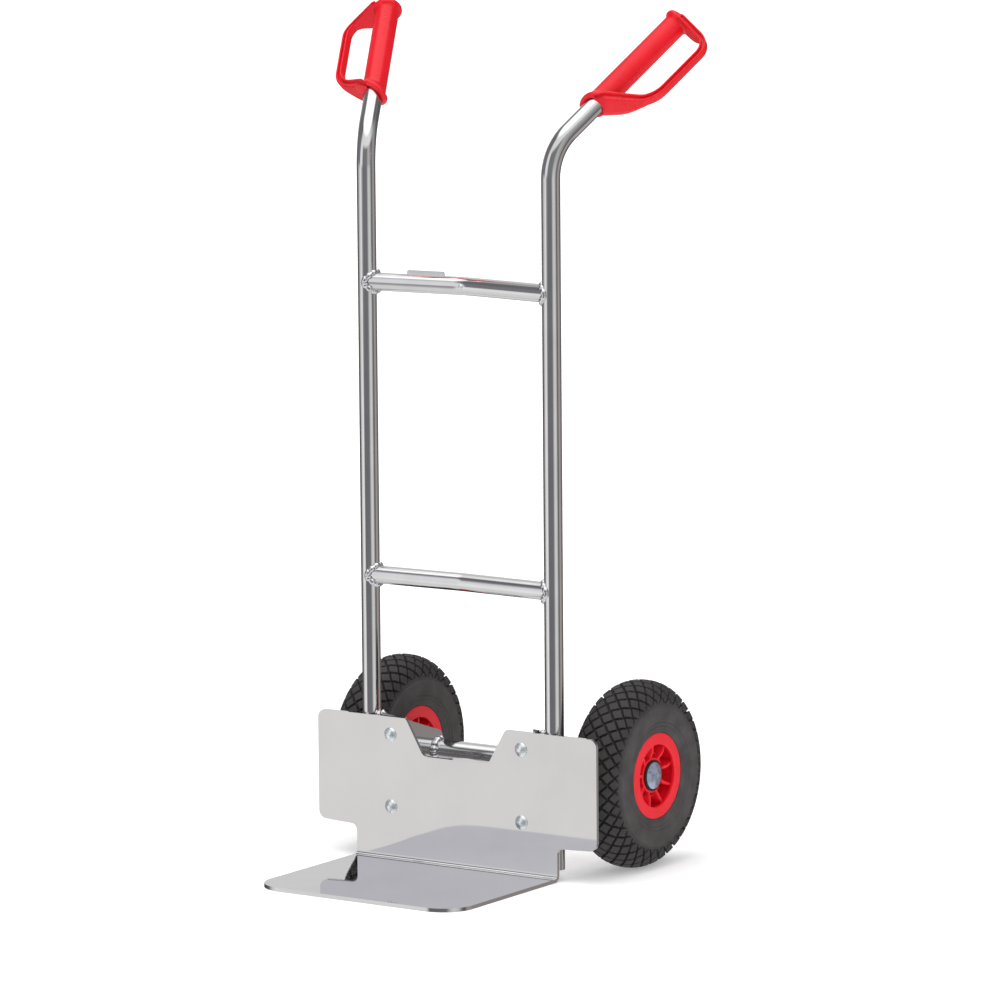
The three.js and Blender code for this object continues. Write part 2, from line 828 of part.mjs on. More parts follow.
/** Half of the rim's section on its +X side, listed from the seat's middle round to the disc. */
const barrelInner = rimSeatRadius - rimBarrelWall;
const rimHalf = [
  [seatHalfWidth, rimSeatRadius],
  [rimFaceOffset - rimLipWidth, rimLipRadius],
  [rimFaceOffset, rimLipRadius],
  [rimFaceOffset, rimFaceInnerRadius],
  [rimFaceOffset - rimFaceThickness, rimFaceInnerRadius],
  [rimFaceOffset - rimFaceThickness, barrelInner],
  [rimDiscThickness / 2, barrelInner],
  [rimDiscThickness / 2, collarRadius],
  [collarHalfWidth, collarRadius],
  [collarHalfWidth, collarRadius - collarWall],
  [rimDiscThickness / 2, collarRadius - collarWall],
  [rimDiscThickness / 2, hubRadius],
  [hubHalfLength, hubRadius],
  [hubHalfLength, hubBoreRadius],
];
const rimBody = turnedX([...rimHalf, ...mirrored(rimHalf)], rimFacets);
const ribFoot = (hubRadius + hubBoreRadius) / 2;
const ribHead = rimSeatRadius - rimBarrelWall / 2;
const ribs = Array.from({ length: ribCount }, (_, i) => {
  const rib = new THREE.BoxGeometry(2 * ribHalfWidth, ribThickness, ribHead - ribFoot);
  return rib.translate(0, 0, (ribHead + ribFoot) / 2).rotateX((2 * Math.PI * i) / ribCount);
});
addPair("rim", joined(rimBody, ...ribs), rimPlastic, (mesh) =>
  mesh.position.set(wheelOffset, axleSetback, axleHeight),
);

/** Black nylon ring on each end of the hub, with a spigot in its bore. */
const pressedRadius = hubBoreRadius - bearingFit;
const endRing = turnedX(
  [
    [hubHalfLength - endRingSpigot, axleBore],
    [hubHalfLength - endRingSpigot, pressedRadius],
    [hubHalfLength + seatGap, pressedRadius],
    [hubHalfLength + seatGap, endRingRadius],
    [hubHalfLength + seatGap + endRingFlange, endRingRadius],
    [hubHalfLength + seatGap + endRingFlange, axleBore],
  ],
  tubeFacets,
);
addPair("outer_end_ring", endRing, blackNylon, (mesh) =>
  mesh.position.set(wheelOffset, axleSetback, axleHeight),
);
addPair("inner_end_ring", endRing, blackNylon, (mesh) => {
  mesh.rotation.z = Math.PI;
  mesh.position.set(wheelOffset, axleSetback, axleHeight);
});
const bearingHalfLength = hubHalfLength - endRingSpigot - seatGap;
addPair(
  "roller_bearing",
  sleeveX(-bearingHalfLength, bearingHalfLength, pressedRadius, axleBore, tubeFacets),
  brightSteel,
  (mesh) => mesh.position.set(wheelOffset, axleSetback, axleHeight),
);

// ---------------------------------------------------------------- grips

/** In the grip's own frame X runs up the handle, Y points to the guard and Z across the band. */
const collarDrop =
  gripRingRadius * (2 * Math.sin(gripCollarSlant) + Math.sin(gripCollarLean));
const gripSleeve = turnedX(
  [
    [-collarDrop, 0],
    [-collarDrop, gripRadius],
    [gripLength - gripCapLength - gripCapRun, gripRadius],
    [gripLength - gripCapLength, gripRingRadius, gripRingRounding / 2],
    [gripLength - gripCapCrown, gripRingRadius, gripRingRounding],
    [gripLength, gripRingRadius * gripCapCrownShare],
    [gripLength, 0],
  ],
  tubeFacets,
);

/** Turns a solid on the sleeve's axis to lie along the collar's slanted lower edge. */
const slanted = (geometry, lean) =>
  geometry
    .rotateY(-lean)
    .translate(0, -gripRingRadius, 0)
    .rotateZ(-gripCollarSlant)
    .translate(0, gripRingRadius, 0);
const gripCollar = slanted(
  turnedX(
    [
      [0, 0],
      [0, gripRingRadius, gripRingRounding],
      [gripCollarLength, gripRingRadius - 1],
      [gripCollarLength + gripCollarRun, gripRadius - 1],
      [gripCollarLength + gripCollarRun, 0],
    ],
    tubeFacets,
  ),
  gripCollarLean,
);
const belowCollar = [gripCollarLean, 0].map((lean) =>
  slanted(prismX(disc(3 * gripRingRadius, smallFacets), -3 * gripRingRadius, 0), lean),
);

const guardInner = guardReach - guardThickness;
const guardLoop = outline([
  [guardFoot.outer, 0],
  [gripLength - guardHead.outer, 0],
  [gripLength - guardHead.outer, gripRingRadius / 2],
  [gripLength - guardShoulder.outer, guardReach, guardShoulder.outerRadius],
  [guardBend.outer, guardReach, guardBend.outerRadius],
  [guardFoot.outer, gripRadius],
]);
guardLoop.holes.push(
  new THREE.Path(
    rounded([
      [guardFoot.inner, gripRadius / 2],
      [guardBend.inner, guardInner, guardBend.innerRadius],
      [gripLength - guardShoulder.inner, guardInner, guardShoulder.innerRadius],
      [gripLength - guardHead.inner, gripRadius / 2],
    ]),
  ),
);
const taperStart = gripRadius - gripWall;
const taperEnd = guardReach - guardTaperRun;
const guardTaper = new THREE.Shape(
  bothSides([
    [guardFullWidth / 2, -1],
    [guardFullWidth / 2, taperStart],
    [guardFullWidth * guardWaist[0], between(taperStart, taperEnd, 1 / 3)],
    [guardFullWidth * guardWaist[1], between(taperStart, taperEnd, 2 / 3)],
    [guardWidth / 2, taperEnd],
    [guardWidth / 2, guardReach + 1],
  ]).map(([z, y]) => new THREE.Vector2(y, z)),
);
const guard = common(
  prismZ(guardLoop, -guardFullWidth / 2, guardFullWidth / 2),
  prismX(guardTaper, -1, gripLength + 1),
);
const gripBore = turnedX(
  [
    [-2 * collarDrop, 0],
    [-2 * collarDrop, gripBoreRadius],
    [gripLength - gripEndWall, gripBoreRadius],
    [gripLength - gripEndWall, 0],
  ],
  tubeFacets,
);

/** The guard points level and outwards from the handle, then is rolled about it. */
const levelOutward = new THREE.Vector3(Math.cos(handleSplay), -Math.sin(handleSplay), 0);
const guardDirection = levelOutward.clone().applyAxisAngle(handleDirection, -guardRoll);
const acrossBand = handleDirection.clone().cross(guardDirection);
const gripTurn = new THREE.Matrix4().makeBasis(handleDirection, guardDirection, acrossBand);

const grip = cut(joined(gripSleeve, gripCollar, guard), ...belowCollar, gripBore);
addPair("grip", grip, redPlastic, (mesh) => {
  mesh.quaternion.setFromRotationMatrix(gripTurn);
  mesh.position.copy(alongHandle(gripStart));
});

// ---------------------------------------------------------------- origin: below the middle, on the floor

truck.updateMatrixWorld(true);
const box = new THREE.Box3().setFromObject(truck, true);
truck.position.set(-(box.min.x + box.max.x) / 2, -(box.min.y + box.max.y) / 2, -box.min.z);

const handTruck = new THREE.Group();
handTruck.add(truck);

export default handTruck;
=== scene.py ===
"""Two-wheeled hand truck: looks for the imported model, in metres, +Z up, toe plate towards -Y.

The file follows the truck as it is put together: tubes, welds, plate, axle, wheels, grips, then
the small fasteners, with the camera first and the studio last.
"""

import math

import bmesh
import bpy
import numpy as np
from mathutils import Matrix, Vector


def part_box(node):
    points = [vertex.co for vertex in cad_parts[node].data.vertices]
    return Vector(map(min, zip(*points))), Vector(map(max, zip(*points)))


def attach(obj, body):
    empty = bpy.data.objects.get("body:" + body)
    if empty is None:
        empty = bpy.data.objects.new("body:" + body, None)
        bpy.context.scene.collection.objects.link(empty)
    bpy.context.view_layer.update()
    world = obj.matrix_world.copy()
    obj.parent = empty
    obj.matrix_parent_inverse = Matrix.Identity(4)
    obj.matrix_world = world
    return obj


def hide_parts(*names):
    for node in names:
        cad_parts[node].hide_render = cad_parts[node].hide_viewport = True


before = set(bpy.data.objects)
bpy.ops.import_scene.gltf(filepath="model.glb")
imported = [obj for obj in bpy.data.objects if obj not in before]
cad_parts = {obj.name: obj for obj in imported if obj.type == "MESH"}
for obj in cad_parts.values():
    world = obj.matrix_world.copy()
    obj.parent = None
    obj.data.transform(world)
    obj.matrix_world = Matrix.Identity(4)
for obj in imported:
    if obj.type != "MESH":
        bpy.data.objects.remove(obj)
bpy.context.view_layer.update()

# ------------------------------------------------------------------ camera
# A long lens on a tripod in front of the truck's right-hand corner, a little above the handles,
# pointed straight at the middle of the truck.

CAMERA_PLACE = (5.1188, -7.43144, 1.85988)
CAMERA_AZIMUTH = 0.59696
CAMERA_PITCH = 0.14832
CAMERA_ROLL = -0.00827
CAMERA_LENS = 240.33
SENSOR_WIDTH = 36.0

camera_data = bpy.data.cameras.new("camera")
camera = bpy.data.objects.new("camera", camera_data)
bpy.context.scene.collection.objects.link(camera)
camera_data.lens = CAMERA_LENS
camera_data.sensor_width = SENSOR_WIDTH
camera_data.clip_end = 200.0
camera.rotation_mode = "XYZ"
turn_up = math.pi / 2 - CAMERA_PITCH
camera.matrix_world = (
    Matrix.Translation(CAMERA_PLACE)
    @ Matrix.Rotation(CAMERA_AZIMUTH, 4, "Z")
    @ Matrix.Rotation(turn_up, 4, "X")
    @ Matrix.Rotation(CAMERA_ROLL, 4, "Z")
)
bpy.context.scene.camera = camera

# ------------------------------------------------------------------ uprights
# Each upright is one 26 mm drawn aluminium tube, bent once into the handle, then polished and
# clear anodised. The lower end is sawn square behind the toe plate.

mm = 0.001
UPRIGHT_RADIUS = 13 * mm
TUBE_WALL = 2 * mm
HANDLE_TILT = math.radians(51)
HANDLE_SPLAY = math.radians(26)
HANDLE_CORNER = 998 * mm
HANDLE_BEND = 80 * mm
HANDLE_LENGTH = 255 * mm

upright_low = np.array(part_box("right_upright")[0])
UPRIGHT_X = upright_low[0] + UPRIGHT_RADIUS
UPRIGHT_Y = upright_low[1] + UPRIGHT_RADIUS
UPRIGHT_FOOT = upright_low[2]


def linear(code):
    """An sRGB hex colour as linear red, green, blue and alpha."""
    parts = np.array([int(code[i : i + 2], 16) for i in (1, 3, 5)]) / 255
    low = parts / 12.92
    high = ((parts + 0.055) / 1.055) ** 2.4
    return (*np.where(parts <= 0.04045, low, high), 1.0)


def node(material, kind, inputs=None, stops=(), **settings):
    """Adds a shader node with its settings, links and, on a ramp, its (position, colour) stops;
    an input is a value or another node's output."""
    made = material.node_tree.nodes.new(kind)
    for key, value in settings.items():
        setattr(made, key, value)
    for key, value in (inputs or {}).items():
        if isinstance(value, bpy.types.NodeSocket):
            material.node_tree.links.new(value, made.inputs[key])
        else:
            made.inputs[key].default_value = value
    for _ in stops[2:]:
        made.color_ramp.elements.new(0.5)
    for element, (place, colour) in zip(made.color_ramp.elements if stops else (), stops):
        element.position = place
        element.color = colour
    return made


def finish_of(name, inputs):
    """A new material whose principled shader has those inputs set or linked."""
    material = bpy.data.materials.new(name)
    material.use_nodes = True
    shader = material.node_tree.nodes["Principled BSDF"]

    def set_inputs(values):
        for key, value in values.items():
            if isinstance(value, bpy.types.NodeSocket):
                material.node_tree.links.new(value, shader.inputs[key])
            else:
                shader.inputs[key].default_value = value

    set_inputs(inputs)
    return material, set_inputs


def grey(value):
    """A neutral linear colour."""
    return (value, value, value, 1.0)


def grid_faces(rows, columns, close_rows=False, close_columns=True):
    """Quads of a grid of rows by columns, with the last joined to the first where closed."""
    r = np.arange(rows if close_rows else rows - 1)[:, None]
    c = np.arange(columns if close_columns else columns - 1)[None, :]
    r2 = (r + 1) % rows
    c2 = (c + 1) % columns
    quads = [r * columns + c, r * columns + c2, r2 * columns + c2, r2 * columns + c]
    return np.stack(quads, -1).reshape(-1, 4)


def piece(name, shells, material, body, crease=35.0, lay=None):
    """A mesh object from (vertices, faces) shells: doubles merged, faces outward, smooth below
    the crease angle. lay gives each vertex a vector that its material reads."""
    mesh = bpy.data.meshes.new(name)
    counts = np.cumsum([0] + [len(v) for v, _ in shells])
    vertices = np.vstack([v for v, _ in shells])
    faces = [f for (_, part), start in zip(shells, counts) for f in (part + start).tolist()]
    mesh.from_pydata(vertices.tolist(), [], faces)
    if lay is not None:
        place = mesh.attributes.new("lay", "FLOAT_VECTOR", "POINT")
        place.data.foreach_set("vector", np.asarray(lay, dtype=np.float32).ravel())
    work = bmesh.new()
    work.from_mesh(mesh)
    bmesh.ops.remove_doubles(work, verts=work.verts, dist=1e-6)
    bmesh.ops.recalc_face_normals(work, faces=work.faces)
    work.to_mesh(mesh)
    work.free()
    mesh.polygons.foreach_set("use_smooth", np.ones(len(mesh.polygons), dtype=bool))
    mesh.set_sharp_from_angle(angle=math.radians(crease))
    mesh.materials.append(material)
    made = bpy.data.objects.new(name, mesh)
    bpy.context.scene.collection.objects.link(made)
    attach(made, body)
    return made


def unit(vectors):
    """Vectors scaled to length one."""
    return vectors / np.linalg.norm(vectors, axis=-1, keepdims=True)


def bent_line(corners, radius, steps=14):
    """Points and tangents of straight runs joined by circular bends of that radius: a bend's
    points are start + radius (sin angle x arriving + (1 - cos angle) x inward)."""
    corners = [np.array(c, dtype=float) for c in corners]
    points, tangents = [corners[0]], [unit(corners[1] - corners[0])]
    for before, corner, after in zip(corners, corners[1:], corners[2:]):
        arriving, leaving = unit(corner - before), unit(after - corner)
        turn = math.acos(np.clip(arriving @ leaving, -1, 1))
        start = corner - arriving * radius * math.tan(turn / 2)
        inward = unit(leaving - arriving * (arriving @ leaving))
        angle = np.linspace(0, turn, steps + 1)[:, None]
        points.extend(start + radius * (np.sin(angle) * arriving + (1 - np.cos(angle)) * inward))
        tangents.extend(np.cos(angle) * arriving + np.sin(angle) * inward)
    points.append(corners[-1])
    tangents.append(unit(corners[-1] - corners[-2]))
    return np.array(points), np.array(tangents)


def swept(points, tangents, side, section):
    """A section carried along a flat path: point + u (side x tangent) + v side for each (u, v)."""
    across = unit(np.cross(side, tangents))
    u, v = section[..., 0], section[..., 1]
    u = np.broadcast_to(u, (len(points), u.shape[-1]))
    v = np.broadcast_to(v, (len(points), v.shape[-1]))
    return points[:, None] + u[..., None] * across[:, None] + v[..., None] * np.array(side)


def round_section(radius, sides=56):
    """Points of a circle: radius x (cos, sin) of equal steps of a full turn."""
    angle = np.arange(sides) * 2 * math.pi / sides
    return radius * np.stack([np.cos(angle), np.sin(angle)], -1)


def tube_shell(points, tangents, side, radius, wall, sides=56):
    """A tube with open ends and a wall: the outer skin out, the inner skin back, closed in both
    directions. Also each vertex's place on the straightened tube."""
    outer, inner = round_section(radius, sides), round_section(radius - wall, sides)
    along = np.concatenate([[0], np.cumsum(np.linalg.norm(np.diff(points, axis=0), axis=1))])
    rings = np.concatenate(
        [swept(points, tangents, side, outer), swept(points, tangents, side, inner)[::-1]]
    )
    rounds = np.concatenate([np.broadcast_to(s, (len(along), *s.shape)) for s in (outer, inner)])
    lengths = np.tile(np.concatenate([along, along[::-1]])[:, None, None], (1, sides, 1))
    lay = np.concatenate([rounds, lengths], -1)
    faces = grid_faces(len(rings), sides, close_rows=True)
    return (rings.reshape(-1, 3), faces), lay.reshape(-1, 3)


# Polished, clear-anodised drawn aluminium: a bright metal with a faint milky bloom and hair-fine
# drawing lines along the tube. The lines are drawn about 1 mm apart so that they show.
tube_finish, set_tube = finish_of("polished_anodised_drawn_aluminium", {"Metallic": 1.0})
lay = node(tube_finish, "ShaderNodeAttribute", attribute_name="lay").outputs["Vector"]
lines = node(tube_finish, "ShaderNodeMapping", {"Vector": lay, "Scale": (900.0, 900.0, 7.0)})
drawn = node(
    tube_finish,
    "ShaderNodeTexNoise",
    {"Vector": lines.outputs["Vector"], "Scale": 1.0, "Detail": 3.0},
).outputs["Fac"]
cloud = node(
    tube_finish,
    "ShaderNodeTexNoise",
    {"Vector": lay, "Scale": 22.0, "Detail": 4.0},
).outputs["Fac"]
set_tube(
    {
        "Base Color": node(
            tube_finish,
            "ShaderNodeValToRGB",
            {"Fac": cloud},
            stops=[(0.3, linear("#DCDCDD")), (0.7, linear("#E4E4E5"))],
        ).outputs["Color"],
        "Roughness": node(
            tube_finish,
            "ShaderNodeValToRGB",
            {"Fac": drawn},
            stops=[(0.25, grey(0.05)), (0.8, grey(0.11))],
        ).outputs["Color"],
        "Normal": node(
            tube_finish, "ShaderNodeBump", {"Height": drawn, "Strength": 0.05, "Distance": 0.0004}
        ).outputs["Normal"],
    }
)

handle_direction = np.array(
    [
        math.sin(HANDLE_TILT) * math.sin(HANDLE_SPLAY),
        math.sin(HANDLE_TILT) * math.cos(HANDLE_SPLAY),
        math.cos(HANDLE_TILT),
    ]
)
level_outward = np.array([math.cos(HANDLE_SPLAY), -math.sin(HANDLE_SPLAY), 0.0])
handle_corner = np.array([UPRIGHT_X, UPRIGHT_Y, HANDLE_CORNER])
upright_path = bent_line(
    [
        (UPRIGHT_X, UPRIGHT_Y, UPRIGHT_FOOT),
        handle_corner,
        handle_corner + HANDLE_LENGTH * handle_direction,
    ],
    HANDLE_BEND,
    24,
)
SIDES = {"right": np.array([1.0, 1.0, 1.0]), "left": np.array([-1.0, 1.0, 1.0])}
for side_name, mirror in SIDES.items():
    shell, straight = tube_shell(*upright_path, level_outward, UPRIGHT_RADIUS, TUBE_WALL)
    upright = piece(
        side_name + "_upright_tube",
        [(shell[0] * mirror, shell[1])],
        tube_finish,
        "frame",
        lay=straight,
    )
    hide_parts(side_name + "_upright")

# ------------------------------------------------------------------ crossbars
# Two 25 mm tubes bowed back in the middle so that a round load beds between the uprights. Their
# ends are coped to the uprights, so each tube runs up to the upright's axis here.

CROSSBAR_RADIUS = 12.5 * mm
CROSSBAR_BEND = 120 * mm
CROSSBARS = {"upper_crossbar": (804 * mm, 18 * mm), "lower_crossbar": (397 * mm, 6 * mm)}
COPE_DEPTH = 8 * mm

for bar_name, (height, setback) in CROSSBARS.items():
    reach = UPRIGHT_X - COPE_DEPTH
    sag = setback * (1 - reach / UPRIGHT_X)
    points, tangents = bent_line(
        [
            (-reach, UPRIGHT_Y + sag, height),
            (0.0, UPRIGHT_Y + setback, height),
            (reach, UPRIGHT_Y + sag, height),
        ],
        CROSSBAR_BEND,
    )
    shell, straight = tube_shell(points, tangents, (0.0, 0.0, 1.0), CROSSBAR_RADIUS, TUBE_WALL)
    bar = piece(bar_name + "_tube", [shell], tube_finish, "frame", lay=straight)
    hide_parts(bar_name)

# ------------------------------------------------------------------ welds
# TIG welds in aluminium: a bright bead of overlapping ripples, as a row of coins laid over one
# another, round each crossbar's end, down each bracket and round the axle tube.

BEAD_RADIUS = 4.4 * mm
BEAD_LIFT = 0.6 * mm
BEAD_SIDES = 14
RIPPLE_PITCH = 7.5 * mm

# Fresh TIG weld metal: mirror-bright aluminium, a little rough between the ripples.
weld_finish, set_weld = finish_of("bright_tig_weld_aluminium", {"Metallic": 1.0})
weld_place = node(weld_finish, "ShaderNodeTexCoord").outputs["Object"]
weld_grain = node(
    weld_finish, "ShaderNodeTexNoise", {"Vector": weld_place, "Scale": 420.0, "Detail": 3.0}
).outputs["Fac"]
set_weld(
    {
        "Base Color": node(
            weld_finish,
            "ShaderNodeValToRGB",
            {"Fac": weld_grain},
            stops=[(0.3, linear("#D4D5D8")), (0.7, linear("#F2F2F3"))],
        ).outputs["Color"],
        "Roughness": node(
            weld_finish,
            "ShaderNodeValToRGB",
            {"Fac": weld_grain},
            stops=[(0.3, grey(0.1)), (0.75, grey(0.24))],
        ).outputs["Color"],
        "Normal": node(
            weld_finish,
            "ShaderNodeBump",
            {"Height": weld_grain, "Strength": 0.25, "Distance": 0.0006},
        ).outputs["Normal"],
    }
)


def bead(points, outward, radius, closed):
    """A rippled bead along a line: at each point a circle of radius x (0.8 + 0.27 sin(pi saw)^0.6),
    where saw rises from 0 to 1 along each ripple, about the line's own tangent."""
    tangents = (
        np.roll(points, -1, 0) - np.roll(points, 1, 0) if closed else np.gradient(points, axis=0)
    )
    tangents = unit(tangents)
    up = unit(outward - tangents * np.sum(outward * tangents, -1, keepdims=True))
    over = np.cross(tangents, up)
    steps = np.linalg.norm(np.diff(points, axis=0), axis=1)
    along = np.concatenate([[0], np.cumsum(steps)])
    ripples = max(1, round(along[-1] / RIPPLE_PITCH))
    saw = (along / along[-1] * ripples) % 1.0
    size = radius * (0.8 + 0.27 * np.sin(saw * math.pi) ** 0.6)
    if not closed:
        ends = np.minimum(along, along[-1] - along)
        size = size * np.sqrt(np.clip(ends / radius, 0.02, 1.0))
    angle = np.arange(BEAD_SIDES) * 2 * math.pi / BEAD_SIDES
    ring = np.cos(angle)[None, :, None] * up[:, None] + np.sin(angle)[None, :, None] * over[:, None]
    lean = tangents[:, None] * (np.cos(angle)[None, :, None] * 0.5)
    vertices = points[:, None] + size[:, None, None] * (ring + lean * (0.9 - saw)[:, None, None])
    shell = [(vertices.reshape(-1, 3), grid_faces(len(points), BEAD_SIDES, close_rows=closed))]
    if not closed:
        for row in (0, len(points) - 1):
            hub = np.vstack([vertices[row], vertices[row].mean(0)])
            rim = np.arange(BEAD_SIDES)
            fan = np.stack([rim, (rim + 1) % BEAD_SIDES, np.full(BEAD_SIDES, BEAD_SIDES)], -1)
            shell.append((hub, fan))
    return shell


angle = np.linspace(0, 2 * math.pi, 240, endpoint=False)
for bar_name, (height, setback) in CROSSBARS.items():
    for side_name, mirror in SIDES.items():
        swing = (CROSSBAR_RADIUS + BEAD_LIFT) * np.cos(angle)
        depth = -np.sqrt(np.clip((UPRIGHT_RADIUS + BEAD_LIFT) ** 2 - swing**2, 0, None))
        saddle = np.stack(
            [
                UPRIGHT_X + depth,
                UPRIGHT_Y + swing + setback * (1 - (UPRIGHT_X + depth) / UPRIGHT_X),
                height + (CROSSBAR_RADIUS + BEAD_LIFT) * np.sin(angle),
            ],
            -1,
        )
        outward = unit(np.stack([-0.8 + 0 * angle, np.cos(angle), np.sin(angle)], -1))
        piece(
            side_name + "_" + bar_name + "_weld",
            bead(saddle * mirror, outward * mirror, BEAD_RADIUS, True),
            weld_finish,
            "frame",
            crease=60.0,
        )

# ------------------------------------------------------------------ toe plate
# One 5 mm sheet of rolled aluminium, laser cut, folded once at the foot, then polished and clear
# anodised, with its edges eased. The flat blank is a grid of rows between two edge lines.

PLATE_THICKNESS = 5 * mm
FOLD_INSIDE = 5 * mm
toe_low, toe_high = (np.array(c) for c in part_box("toe_plate"))
PLATE_FRONT = toe_high[1] - PLATE_THICKNESS
PLATE_TOP = toe_high[2]
PLATE_HALF = toe_high[0]
TOE_FRONT = toe_low[1]
TOE_HALF = 167 * mm
TOE_CORNER = 45 * mm
EAR_FOOT = 46 * mm
EAR_RISE = 3 * mm
EAR_INNER_RADIUS = 9 * mm
PLATE_CORNER = 12 * mm
NOTCH_MOUTH_HALF = 83 * mm
NOTCH_FLOOR_HALF = 54 * mm
NOTCH_FLOOR = 152.5 * mm
NOTCH_MOUTH_RADIUS = 6 * mm
NOTCH_FLOOR_RADIUS = 12 * mm


def rounded_line(corners, steps=14):
    """A polyline through (x, y, radius) corners, with an arc tangent to both sides at each: its
    centre lies radius / sin(half the corner's angle) from the corner, halfway between them."""
    corners = np.array(corners, dtype=float)
    points = [corners[0, :2]]
    for before, corner, after in zip(corners, corners[1:], corners[2:]):
        middle, radius = corner[:2], corner[2]
        back, on = unit(before[:2] - middle), unit(after[:2] - middle)
        half = math.acos(np.clip(back @ on, -1, 1)) / 2
        if radius == 0 or half > math.pi / 2 - 0.01:
            points.append(middle)
            continue
        centre = middle + unit(back + on) * radius / math.sin(half)
        start = middle + back * radius / math.tan(half) - centre
        end = middle + on * radius / math.tan(half) - centre
        turn = math.atan2(start[0] * end[1] - start[1] * end[0], start @ end)
        t = np.linspace(0, turn, steps + 1)
        points.extend(
            centre
            + np.stack(
                [
                    start[0] * np.cos(t) - start[1] * np.sin(t),
                    start[0] * np.sin(t) + start[1] * np.cos(t),
                ],
                -1,
            )
        )
    points.append(corners[-1, :2])
    return np.array(points)


# Lengths along the blank run from the toe's front edge; the fold's middle line takes an arc.
FOLD_MIDDLE = FOLD_INSIDE + PLATE_THICKNESS / 2
toe_run = (PLATE_FRONT - FOLD_INSIDE) - TOE_FRONT
arc_run = FOLD_MIDDLE * math.pi / 2
FOLD_TOP = PLATE_THICKNESS + FOLD_INSIDE


def length_at(z):
    """The blank's length at a height on the standing part: toe run + fold arc + height above it."""
    return toe_run + arc_run + z - FOLD_TOP


outer_line = rounded_line(
    [
        (20 * mm, 0, 0),
        (TOE_HALF, 0, TOE_CORNER),
        (TOE_HALF, length_at(EAR_FOOT), EAR_INNER_RADIUS),
        (PLATE_HALF, length_at(EAR_FOOT + EAR_RISE), PLATE_CORNER),
        (PLATE_HALF, length_at(PLATE_TOP), PLATE_CORNER),
        (PLATE_HALF - 30 * mm, length_at(PLATE_TOP), 0),
    ],
    20,
)[1:-1]
notch_line = rounded_line(
    [
        (20 * mm, length_at(NOTCH_FLOOR), 0),
        (NOTCH_FLOOR_HALF, length_at(NOTCH_FLOOR), NOTCH_FLOOR_RADIUS),
        (NOTCH_MOUTH_HALF, length_at(PLATE_TOP), NOTCH_MOUTH_RADIUS),
        (NOTCH_MOUTH_HALF + 30 * mm, length_at(PLATE_TOP), 0),
    ],
    16,
)[1:-1]
fold_rows = toe_run + np.linspace(0, arc_run, 17)
rows = np.concatenate([outer_line[:, 1], notch_line[:, 1], fold_rows, np.linspace(0, toe_run, 8)])
rows = np.unique(np.round(rows, 7))
outer_x = np.interp(rows, outer_line[:, 1], outer_line[:, 0])
lower = rows <= length_at(NOTCH_FLOOR) + 1e-6
inner_x = np.where(lower, notch_line[0, 0], np.interp(rows, notch_line[:, 1], notch_line[:, 0]))
share = np.linspace(0, 1, 9)[None, :]


def on_sheet(x, length):
    """The place on the folded sheet's middle surface. Round the fold the turn is the length past
    the toe / fold radius, y grows by radius x sin(turn) and z by radius x (1 - cos(turn))."""
    turn = np.clip((length - toe_run) / FOLD_MIDDLE, 0, math.pi / 2)
    rise = np.clip(length - toe_run - arc_run, 0, None)
    y = TOE_FRONT + np.minimum(length, toe_run) + FOLD_MIDDLE * np.sin(turn)
    z = PLATE_THICKNESS / 2 + FOLD_MIDDLE * (1 - np.cos(turn)) + rise
    return np.stack([x, y, z], -1)


cheek = inner_x[:, None] + (outer_x - inner_x)[:, None] * share
heights = np.broadcast_to(rows[:, None], cheek.shape)
cheek_faces = grid_faces(len(rows), 9, close_columns=False)
middle = np.linspace(-1, 1, 9)[None, :] * inner_x[lower][:, None]
middle_rows = np.broadcast_to(rows[lower][:, None], middle.shape)
sheet_shells = [
    (on_sheet(cheek, heights).reshape(-1, 3), cheek_faces),
    (on_sheet(-cheek, heights).reshape(-1, 3), cheek_faces[:, ::-1]),
    (on_sheet(middle, middle_rows).reshape(-1, 3), grid_faces(lower.sum(), 9, close_columns=False)),
]

# Polished, clear-anodised rolled sheet: nearly a mirror with a faint warm bloom, and rolling grain
# along the sheet that is drawn a millimetre apart, as coarse as it needs to show.
sheet_finish, set_sheet = finish_of("polished_anodised_rolled_aluminium", {"Metallic": 1.0})
sheet_place = node(sheet_finish, "ShaderNodeTexCoord").outputs["Object"]
rolled = node(
    sheet_finish,
    "ShaderNodeTexNoise",
    {
        "Vector": node(
            sheet_finish, "ShaderNodeMapping", {"Vector": sheet_place, "Scale": (6.0, 700.0, 700.0)}
        ).outputs["Vector"],
        "Scale": 1.0,
        "Detail": 3.0,
    },
).outputs["Fac"]
bloom = node(
    sheet_finish,
    "ShaderNodeTexNoise",
    {"Vector": sheet_place, "Scale": 9.0, "Detail": 5.0},
).outputs["Fac"]
set_sheet(
    {
        "Base Color": node(
            sheet_finish,
            "ShaderNodeValToRGB",
            {"Fac": bloom},
            stops=[(0.3, linear("#D1D1D3")), (0.7, linear("#D8D8D9"))],
        ).outputs["Color"],
        "Roughness": node(
            sheet_finish,
            "ShaderNodeValToRGB",
            {"Fac": rolled},
            stops=[(0.3, grey(0.03)), (0.8, grey(0.06))],
        ).outputs["Color"],
        "Normal": node(
            sheet_finish, "ShaderNodeBump", {"Height": rolled, "Strength": 0.01, "Distance": 0.0002}
        ).outputs["Normal"],
    }
)

plate = piece("toe_plate_sheet", sheet_shells, sheet_finish, "frame", crease=40.0)
thick = plate.modifiers.new("thickness", "SOLIDIFY")
thick.thickness = PLATE_THICKNESS
thick.offset = 0.0
eased = plate.modifiers.new("eased_edges", "BEVEL")
eased.width = 0.8 * mm
eased.segments = 3
eased.limit_method = "ANGLE"
eased.angle_limit = math.radians(50)
eased.harden_normals = True
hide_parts("toe_plate")

# ------------------------------------------------------------------ axle tube and axle
# A 32 mm aluminium tube between the brackets with a steel axle in flanged nylon bushes.

